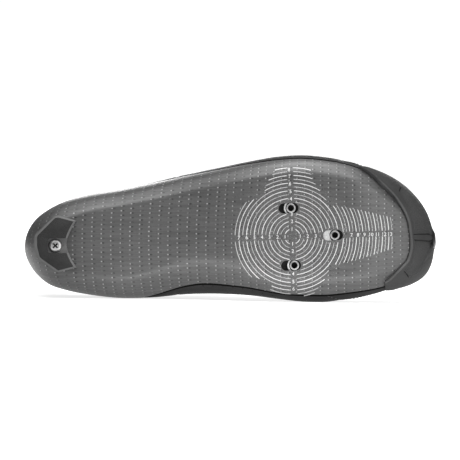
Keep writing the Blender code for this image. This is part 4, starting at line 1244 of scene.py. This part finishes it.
def makeBumper():
    at = columnAngles(bumper["start"], bumper["end"])
    ways = rowsBetween(*toeCapLines(at), bumper["rows"])
    s = section(at)
    side = s["middleSide"] + s["outSide"] * s["reach"]
    nose = np.exp(-(((side - bumper["noseSide"]) / bumper["noseHalf"]) ** 4)) * (s["share"] > bumper["noseFrom"])
    rise = np.linspace(0, 1, bumper["rows"] + 1)[:, None]
    proud = bumper["noseProud"] * nose[None, :] * ramp(rise, bumper["noseStart"], bumper["noseEnd"])
    # the arms' ends are rounded off
    ends = np.minimum(np.arange(len(at)), len(at) - 1 - np.arange(len(at)))
    thinner = bumper["endThinner"] * (1 - ramp(ends, -1, bumper["endSteps"]))[None, :]
    rim = bumper["edgeDrop"] * (1 - ramp(np.minimum(rise, 1 - rise), 0, bumper["edgeRound"]))
    # a low lip follows the edge on the sole
    rim = rim - bumper["lip"] * hump(rise, bumper["lipAt"], bumper["lipWidth"])
    outer = lattice(at, ways, shoe["gap"] + bumper["rubber"] + shoulders(at, ways) + proud - thinner - rim)
    inner = lattice(at, ways, shoe["gap"] + 0 * ways)
    # the two rows along the edge on the sole take the lighter finish as a painted highlight
    looks = [1] * 2 + [0] * (2 * len(outer) - 2)
    cap = capPiece("toe_cap", outer, inner, (moulded, capEdge, treadFace, noseRubber), looks)
    for panel in bumperPanels:
        floor = panelSkin(*panel, 0.0, bumper["rubber"] - bumper["panelDepth"])
        above = panelSkin(*panel, 2 * bumper["panelSlope"], bumper["rubber"] + bumper["panelDepth"])
        # both ends of a panel are steep and catch no light; they take a near-black finish as painted shade
        looks = [1] * (len(above) + len(floor))
        cutWith(cap, capPiece("cutter", above, floor, (panelGroove, treadFace), looks), transfer=True)
    editing(cap)
    # the nose tab's faces take the near-black rubber as painted shade
    noseY, half = -bumper["noseSide"], bumper["noseHalf"]
    selectParts(cap, "faces", lambda at, part: at.x > bumper["noseShadeFrom"] and abs(at.y - noseY) < half)
    finishSelected(cap, noseRubber)
    doneEditing()
    smoothed(cap, 35)
    return cap


layDown(makeBumper(), "root", "rubber", "toe_bumper")

# Heel pad and its screw

pad = {
    "start": 0.0082, "length": 0.0276, "side": -0.0007, "half": 0.0188, "frontHalf": 0.0161,
    "hollow": 0.0068, "hollowPower": 1.6, "hollowSteps": 41, "bevel": 0.0012, "bevelDrop": 0.0006,
    "blank": 0.030, "seatRows": (8, 14), "wider": 0.0009, "wideTo": 0.0125,
    "pocketWidth": 0.0101, "pocketDepth": 0.0040, "pocketCorner": 0.0018, "edge": 0.00022,
}
padCorners = (
    ("ahead", "side"),
    (0.60, -1.01), (0.54, -1.03), (0.09, -0.60), (0.02, -0.50), (-0.04, -0.17),
    (-0.05, -0.08), (-0.05, 0.25), (-0.02, 0.36), (0.45, 1.00), (0.55, 1.03),
)


def seatRows():
    # the form's underside, with a lid over it
    seat, wall = pad["seatRows"]
    ways = np.concatenate([flatRows(seat), rowsBetween(flatEdge, rimWay, wall)])
    skin = lattice(angles, ways, shoe["gap"] + 0 * ways)
    lid = form(angles, flatEdge - 1)
    lid[:, 2] = skin[..., 2].max()
    return np.concatenate([skin, lid[None]])


def makeHeelPad():
    frontX = pad["start"] + pad["length"]
    outline = [(pad["start"] + ahead * pad["length"], -side * pad["half"]) for ahead, side in padCorners[1:]]
    for s in np.linspace(-1, 1, pad["hollowSteps"]):
        outline.append((frontX - pad["hollow"] * (1 - abs(s) ** pad["hollowPower"]), pad["frontHalf"] * s))
    bpy.ops.mesh.primitive_circle_add(vertices=len(outline), radius=pad["half"], fill_type="NGON")
    made = added("heel_tread", padEdge, padFace)
    for vert, (x, y) in zip(made.data.vertices, outline):
        vert.co = (x, y - pad["side"], 0.0)
    editing(made)
    bpy.ops.mesh.select_all(action="SELECT")
    pulled(pad["blank"])
    facesOut()
    selectParts(made, "faces", lambda at, part: at.z < tiny)
    bpy.ops.mesh.inset(thickness=pad["bevel"], depth=0)
    # the face inside the rim is dark; the rim and sides keep the lighter finish as a painted highlight
    finishSelected(made, padFace)
    inner = {vert.index for vert in selected(made)}
    # the rim is wider round the heel
    shifted(made, lambda at, part: part.index in inner and at.x < pad["wideTo"], (pad["wider"], 0, 0))
    shifted(made, lambda at, part: at.z < tiny and part.index not in inner, (0, 0, pad["bevelDrop"]))
    doneEditing()
    cutWith(made, gridPiece("cutter", seatRows(), (moulded,)))
    # a pocket for the screw, open to the front
    width, backX = pad["pocketWidth"], screw["x"] - pad["pocketWidth"] / 2
    mouth = frontX + shoe["gap"] - screw["x"] + width / 2
    pocket = box("cutter", backX + mouth / 2, -screw["side"], 0.0, (mouth, width, 2 * pad["pocketDepth"]), moulded)
    editing(pocket)
    selectParts(pocket, "edges", lambda at, part: at.x < backX + 1e-5 and abs(at.z) < 1e-5)
    bpy.ops.mesh.bevel(offset=pad["pocketCorner"], segments=6)
    doneEditing()
    cutWith(made, pocket)
    cutWith(made, screwHole(pad["pocketDepth"] / 2, pad["pocketDepth"] / 2 + tub["cutDepth"], moulded))
    bevelled(made, pad["edge"], 30)
    smoothed(made, 30)
    return made


def makeScrew():
    low = pad["pocketDepth"] - shoe["gap"] - screw["headHeight"]
    height = screw["headHeight"] - 2 * screw["dome"]
    bottom = -height / 2
    made = cylinder("heel_bolt", screw["headRadius"], bottom, -bottom, 72, steel)
    made.data.materials.append(darkSteel)
    # the head is domed in rings
    editing(made)
    for share, drop in screw["rings"]:
        selectParts(made, "faces", lambda at, part: at.z < bottom + 1e-7 and abs(part.normal.z) > 0.9)
        size = max(vert.co.x for vert in selected(made))
        bpy.ops.mesh.inset(thickness=size - share * screw["headRadius"], depth=0)
        bpy.ops.transform.translate(value=(0, 0, -drop * screw["dome"]))
        bottom -= drop * screw["dome"]
    doneEditing()
    placed(made, 0, 0, low + 2 * screw["dome"] + height / 2)
    top = soleHeight(screw["x"]) + shoe["tubWall"] + screw["tip"]
    shankLow = low + screw["headHeight"] - screw["joined"]
    cutWith(made, cylinder("shank", screw["shank"], shankLow, top, 48, steel), "UNION")
    # cross recess with tapering blades; its walls take the near-black steel as painted shade
    for turn in (45, 135):
        size = (screw["recessLength"], screw["recessWidth"], 2 * screw["recessDepth"])
        blade = box("blade", 0, 0, low, size, darkSteel)
        editing(blade)
        selectParts(blade, "faces", lambda at, part: at.z > low + screw["recessDepth"] * 0.9)
        bpy.ops.transform.resize(value=screw["taper"])
        doneEditing()
        cutWith(made, placed(blade, 0, 0, 0, math.radians(turn)), transfer=True)
    bevelled(made, screw["edge"], 35)
    placed(made, screw["x"], -screw["side"], 0)
    smoothed(made, 30)
    return made


layDown(makeHeelPad(), "root", "rubber", "heel_pad")
layDown(makeScrew(), "root", "metal", "heel_screw")

# Cleat nuts: threaded barrels on flanges, each riding on its own body

nut = {
    "bevel": 0.00035, "pitch": 0.0008, "threadDepth": 0.00022, "boreFrom": 0.001,
    "hollowRadius": 0.0047, "hollowDepth": 0.0006, "shadowShift": 0.0010,
}


def makeNut(row):
    name, _, side, aside, back, front = row
    turn, reach = -cleat["turn"], cleat["flangeHalf"]
    centreX, centreY = slotX(row) + math.cos(turn) * aside, -side + math.sin(turn) * aside
    low = soleHeight(centreX) + cleat["sunk"]
    deck = low - cleat["sunk"] + shoe["tubWall"] + shoe["gap"]
    top = deck + cleat["flange"]
    made = cylinder("nut_" + name, cleat["nutRadius"], low, top, 72, steel)
    editing(made)
    selectParts(made, "edges", lambda at, part: all(vert.co.z < low + tiny for vert in part.verts))
    bpy.ops.mesh.bevel(offset=nut["bevel"], segments=3)
    doneEditing()
    flange = cylinder("flange", reach, deck, top, 72, platedSteel)
    editing(flange)
    parted(flange, front - reach, back - reach)
    doneEditing()
    # a hollow round the barrel in near-black steel, set ahead so it is wider on one side: painted shade and painted
    # shadow
    depth = nut["hollowDepth"]
    hollow = cylinder("hollow", nut["hollowRadius"], deck - depth, deck + depth, 64, darkSteel, nut["shadowShift"])
    cutWith(flange, hollow, transfer=True)
    cutWith(made, flange, "UNION", transfer=True)
    # the bore's cutter carries the thread's ridges and the near-black steel, as painted shade in the bore
    bpy.ops.mesh.primitive_circle_add(vertices=48, radius=cleat["boreRadius"], fill_type="NGON")
    bore = placed(added("bore", darkSteel), 0, 0, low - nut["boreFrom"])
    editing(bore)
    bpy.ops.mesh.select_all(action="SELECT")
    pulled(nut["boreFrom"])
    grow = 1 + nut["threadDepth"] / cleat["boreRadius"]
    for step in range(int((top - low) / nut["pitch"]) + 1):
        for size in (1 / grow, grow):
            pulled(nut["pitch"] / 2)
            bpy.ops.transform.resize(value=(size, size, 1))
    facesOut()
    doneEditing()
    cutWith(made, bore, transfer=True)
    placed(made, centreX, centreY, 0, turn)
    smoothed(made, 35)
    return made


for row in nutTable[1:]:
    layDown(makeNut(row), row[0] + "_nut", "metal", "cleat_nut_" + row[0])

# Printed alignment chart: rings and plain numbers, thin print lying on the sole

chart = {
    "x": carbonLook["chartX"], "side": carbonLook["chartSide"], "turn": math.radians(2.0), "step": 0.00523,
    "line": 0.00048, "faintLine": 0.00038, "endShare": 0.6, "proud": 0.00003, "thick": 0.00004, "rings": 6,
    "numberSize": 0.0024 / 0.7, "bolder": 0.00004, "numberGap": 0.0017, "segment": 0.0006, "slotGap": 0.0007,
    "toeArcs": 8, "toeStep": 0.00445, "toeFirst": 0.0349, "toeReach": 0.0215, "toeFaintReach": 0.0205,
    "toeShorter": 0.0014, "toeNumber": 6, "flat": -0.01, "below": -0.03, "tries": (0.0, 0.00002, -0.00003, 0.00007),
}
# rings past the sixth: radius in steps, from and to in degrees, at the left, the top and the bottom
partRings = (
    (6.5, 45, 315), (7.0, 134, 230), (7.5, 141, 223),
    (7.0, 57, 119), (7.5, 64, 116), (8.0, 69, 111), (8.5, 71, 106), (9.0, 72.5, 103),
    (7.0, 245, 305), (7.5, 245, 295), (7.9, 254, 290),
)
# where each axis's numbers stand, outwards from the middle, in the view's own units
chartNumbers = {
    "left": (
        (285.0, 237.0), (277.5, 237.1), (269.5, 237.3), (262.0, 237.4),
        (254.5, 237.6), (246.6, 237.7), (238.8, 237.9),
    ),
    "right": ((300.2, 236.4), (307.7, 236.3), (315.7, 236.1), (322.4, 235.9)),
    "top": (
        (292.0, 229.2), (291.9, 221.5), (291.6, 214.4), (290.9, 199.1),
        (290.5, 191.6), (290.0, 183.9), (289.5, 176.5), (288.9, 169.8),
    ),
    "bottom": ((292.6, 244.0), (292.8, 251.3), (292.9, 259.4), (293.2, 274.0), (293.4, 281.8), (293.6, 289.0)),
    "toe": (
        (343.8, 235.4), (351.5, 235.2), (358.0, 235.0), (364.5, 234.8),
        (371.0, 234.7), (377.5, 234.5), (384.0, 234.3), (390.0, 234.2),
    ),
}
view = {"scale": 0.000684, "left": 24.0, "middle": 243.0}


def overSlot(x, side):
    straight = (cleat["slotLength"] - cleat["slotWidth"]) / 2
    for row in nutTable[1:]:
        past = max(abs(x - slotX(row)) - straight, 0)
        if math.hypot(past, side - row[2]) < cleat["slotWidth"] / 2 + chart["slotGap"]:
            return True
    return False


def ringStrip(radius, start, end, line):
    # a flat strip along an arc, in the plane of the sole, left open where a number or a slot is
    count = max(8, round(math.radians(end - start) * radius / chart["segment"]))
    strips = [[]]
    for degrees in np.linspace(start, end, count + 1):
        turn = math.radians(degrees) + chart["turn"]
        nearAxis = min(abs((degrees - axis + 180) % 360 - 180) for axis in (0, 90, 180, 270))
        x, side = chart["x"] + radius * math.cos(turn), chart["side"] + radius * math.sin(turn)
        if math.radians(nearAxis) * radius < chart["numberGap"] or overSlot(x, side):
            strips.append([])
        else:
            strips[-1].append((turn, radius, line))
    return [strip for strip in strips if len(strip) > 1]


def stripsPiece(name, strips, finish):
    points, faces = [], []
    for strip in strips:
        for place, (turn, radius, line) in enumerate(strip):
            thin = line / 2 * (chart["endShare"] if place in (0, len(strip) - 1) else 1.0)
            for r in (radius - thin, radius + thin):
                side = chart["side"] + r * math.sin(turn)
                points.append((chart["x"] + r * math.cos(turn), -side, chart["flat"]))
            if place:
                last = len(points)
                faces.append((last - 4, last - 3, last - 1, last - 2))
    return meshPiece(name, points, faces, finish)


def onSole(point):
    # straight up onto the sole, or onto it just beside where the ray slips through a seam
    for aside in chart["tries"]:
        start = Vector((point.x + aside, point.y + aside * 0.6, chart["below"]))
        hit, normal, _, _ = soleTree.ray_cast(start, Vector((0, 0, 1)))
        if hit and normal.z < 0:
            return hit + normal * chart["proud"]
    return None


def printed(piece):
    # pressed onto the sole and given the print's thickness
    work = bmesh.new()
    work.from_mesh(piece.data)
    lost = []
    for vert in work.verts:
        place = onSole(vert.co)
        if place is None:
            lost.append(vert)
        else:
            vert.co = place
    bmesh.ops.delete(work, geom=lost, context="VERTS")
    work.to_mesh(piece.data)
    work.free()
    editing(piece)
    facesOut()
    doneEditing()
    if sum(face.normal.z * face.area for face in piece.data.polygons) > 0:
        piece.data.flip_normals()
    modified(piece, "SOLIDIFY", thickness=chart["thick"], offset=-1)
    layDown(piece, "root", "carbon")


def makeChart():
    step, full, faint = chart["step"], [], []
    for ring in range(1, chart["rings"] + 1):
        full += ringStrip(ring * step, 0, 360, chart["line"])
        faint += ringStrip((ring - 0.5) * step, 0, 360, chart["faintLine"])
    for radius, start, end in partRings:
        (faint if radius % 1 else full).extend(ringStrip(radius * step, start, end, chart["line"]))
    # arcs ahead of the front nut, shorter towards the toe
    for place in range(chart["toeArcs"]):
        radius, shorter = chart["toeFirst"] + place * chart["toeStep"], chart["toeShorter"] * place
        reach = math.degrees((chart["toeReach"] - shorter) / radius)
        full += ringStrip(radius, -reach, reach, chart["line"])
        reach = math.degrees((chart["toeFaintReach"] - shorter) / radius)
        faint += ringStrip(radius + chart["toeStep"] / 2, -reach, reach, chart["faintLine"])
    printed(stripsPiece("chart_rings", full, printWhite))
    printed(stripsPiece("chart_half_rings", faint, printFaint))


def makeNumbers():
    figures = []
    for axis, places in chartNumbers.items():
        for value, (across, down) in enumerate(places, chart["toeNumber"] if axis == "toe" else 1):
            x, side = (across - view["left"]) * view["scale"], (view["middle"] - down) * view["scale"]
            if overSlot(x, side):
                continue
            deselect()
            bpy.ops.object.text_add(location=(0, 0, 0))
            text = bpy.context.object.data
            text.body = str(value)
            text.size = chart["numberSize"]
            text.align_x = text.align_y = "CENTER"
            text.resolution_u = 3
            text.offset = chart["bolder"]
            bpy.ops.object.convert(target="MESH")
            figure = bpy.context.object
            figure.rotation_euler = (math.pi, 0, 0)
            figure.location = (x, -side, chart["flat"])
            placeInMesh(figure)
            figures.append(figure)
    pick(*figures)
    bpy.ops.object.join()
    bpy.context.object.data.materials.clear()
    printed(added("chart_numbers", printWhite))


soleWork = bmesh.new()
soleWork.from_mesh(printingForm.data)
soleTree = BVHTree.FromBMesh(soleWork)
soleWork.free()
makeChart()
makeNumbers()
bpy.data.objects.remove(printingForm, do_unlink=True)
layDown(tubShell, "root", "carbon", "tub")

# Floor, light and camera

studio = {
    "distance": 10.0, "viewX": 0.1409, "viewSide": 0.0089, "viewWidth": 0.3146, "sensor": 36.0, "clipEnd": 50,
    "floorSize": 9.0, "paper": 0.60, "nearGlow": 0.76, "farGlow": 1.05, "nearTo": 0.22, "farFrom": 0.6,
    "paperBounce": 0.48, "skyFrontAt": -0.6, "skyBackAt": 0.5, "skyFront": 0.05, "skyBack": 0.08, "backdrop": 1.05,
}
# name, place, what it points at, width, height and watts
lamps = (
    ("overhead", (0.0, 0.05, 1.4), (0, 0, 0), 2.0, 1.0, 12),
    ("overFront", (0.1, -0.9, 1.3), (0, 0, 0.05), 1.8, 0.9, 27),
    ("toeSide", (1.3, -1.6, 0.5), (0.05, 0, 0.05), 0.7, 0.9, 10),
    ("heelSide", (-1.6, -0.9, 0.4), (0, 0, 0.05), 0.8, 0.6, 1.2),
    ("behind", (0.3, 2.0, 0.8), (0, 0, 0.05), 1.4, 0.6, 19),
    ("lowFront", (0.03, -0.085, 0.003), (0.03, -0.052, 0.02), 0.22, 0.01, 0.03),
    ("toeTop", (0.04, -0.02, 0.40), (0.04, -0.03, 0.08), 0.12, 0.10, 0.3),
)


def areaLight(name, at, towards, width, height, power):
    light = bpy.data.lights.new(name, "AREA")
    light.shape = "RECTANGLE"
    light.size, light.size_y, light.energy = width, height, power
    lamp = linked(name, light)
    lamp.location = at
    lamp.rotation_euler = (Vector(towards) - Vector(at)).to_track_quat("-Z", "Y").to_euler()
    lamp.visible_camera = False


def seenOr(tree, seen, lit):
    # one value for the camera and another for the light that things get
    ray = Value(tree, addNode(tree, "LightPath").outputs["Is Camera Ray"])
    return ray.ranged(0.0, 1.0, lit, seen)


def makeStudio():
    bpy.ops.mesh.primitive_plane_add(size=studio["floorSize"], location=(0, 0, 0))
    inputs = {"Roughness": 0.9, "Emission Color": grey(1.0), "Specular IOR Level": 0.0}
    paper, tree, shader = newFinish("studioPaper", inputs)
    place = objectPlace(tree)
    colour = mixed(tree, noise(tree, place, 3.0), grey(studio["paper"]), grey(studio["paper"] + 0.01))
    feed(tree, shader.inputs["Base Color"], colour)
    # the camera sees the paper run out to white
    far = Value(tree, addNode(tree, "VectorMath", {0: place}, operation="LENGTH").outputs["Value"])
    glow = far.ranged(studio["nearTo"], studio["farFrom"], studio["nearGlow"], studio["farGlow"])
    feed(tree, shader.inputs["Emission Strength"], seenOr(tree, glow, studio["paperBounce"]))
    added("studio_floor", paper)

    # the sky is dimmer in front of the sole than behind it; the camera sees plain white
    world = bpy.data.worlds.new("studioLight")
    bpy.context.scene.world = world
    world.use_nodes = True
    tree = world.node_tree
    ground = tree.nodes["Background"].inputs
    ground["Color"].default_value = grey(1.0)
    towards = partsOf(tree, addNode(tree, "TexCoord").outputs["Generated"])[1]
    sky = towards.ranged(studio["skyFrontAt"], studio["skyBackAt"], studio["skyFront"], studio["skyBack"])
    feed(tree, ground["Strength"], seenOr(tree, studio["backdrop"], sky))
    for lamp in lamps:
        areaLight(*lamp)

    camera = bpy.data.cameras.new("camera")
    camera.sensor_width = studio["sensor"]
    camera.lens = studio["sensor"] * studio["distance"] / studio["viewWidth"]
    camera.clip_end = studio["clipEnd"]
    eye = linked("camera", camera)
    turn = lyingMatrix.to_3x3()
    facing = Matrix([turn @ Vector(axis) for axis in ((1, 0, 0), (0, -1, 0), (0, 0, -1))]).transposed().to_4x4()
    at = lyingMatrix @ Vector((studio["viewX"], -studio["viewSide"], -studio["distance"]))
    eye.matrix_world = Matrix.Translation(at) @ facing
    bpy.context.scene.camera = eye
    bpy.context.scene.view_settings.view_transform = "Standard"


makeStudio()
deselect()
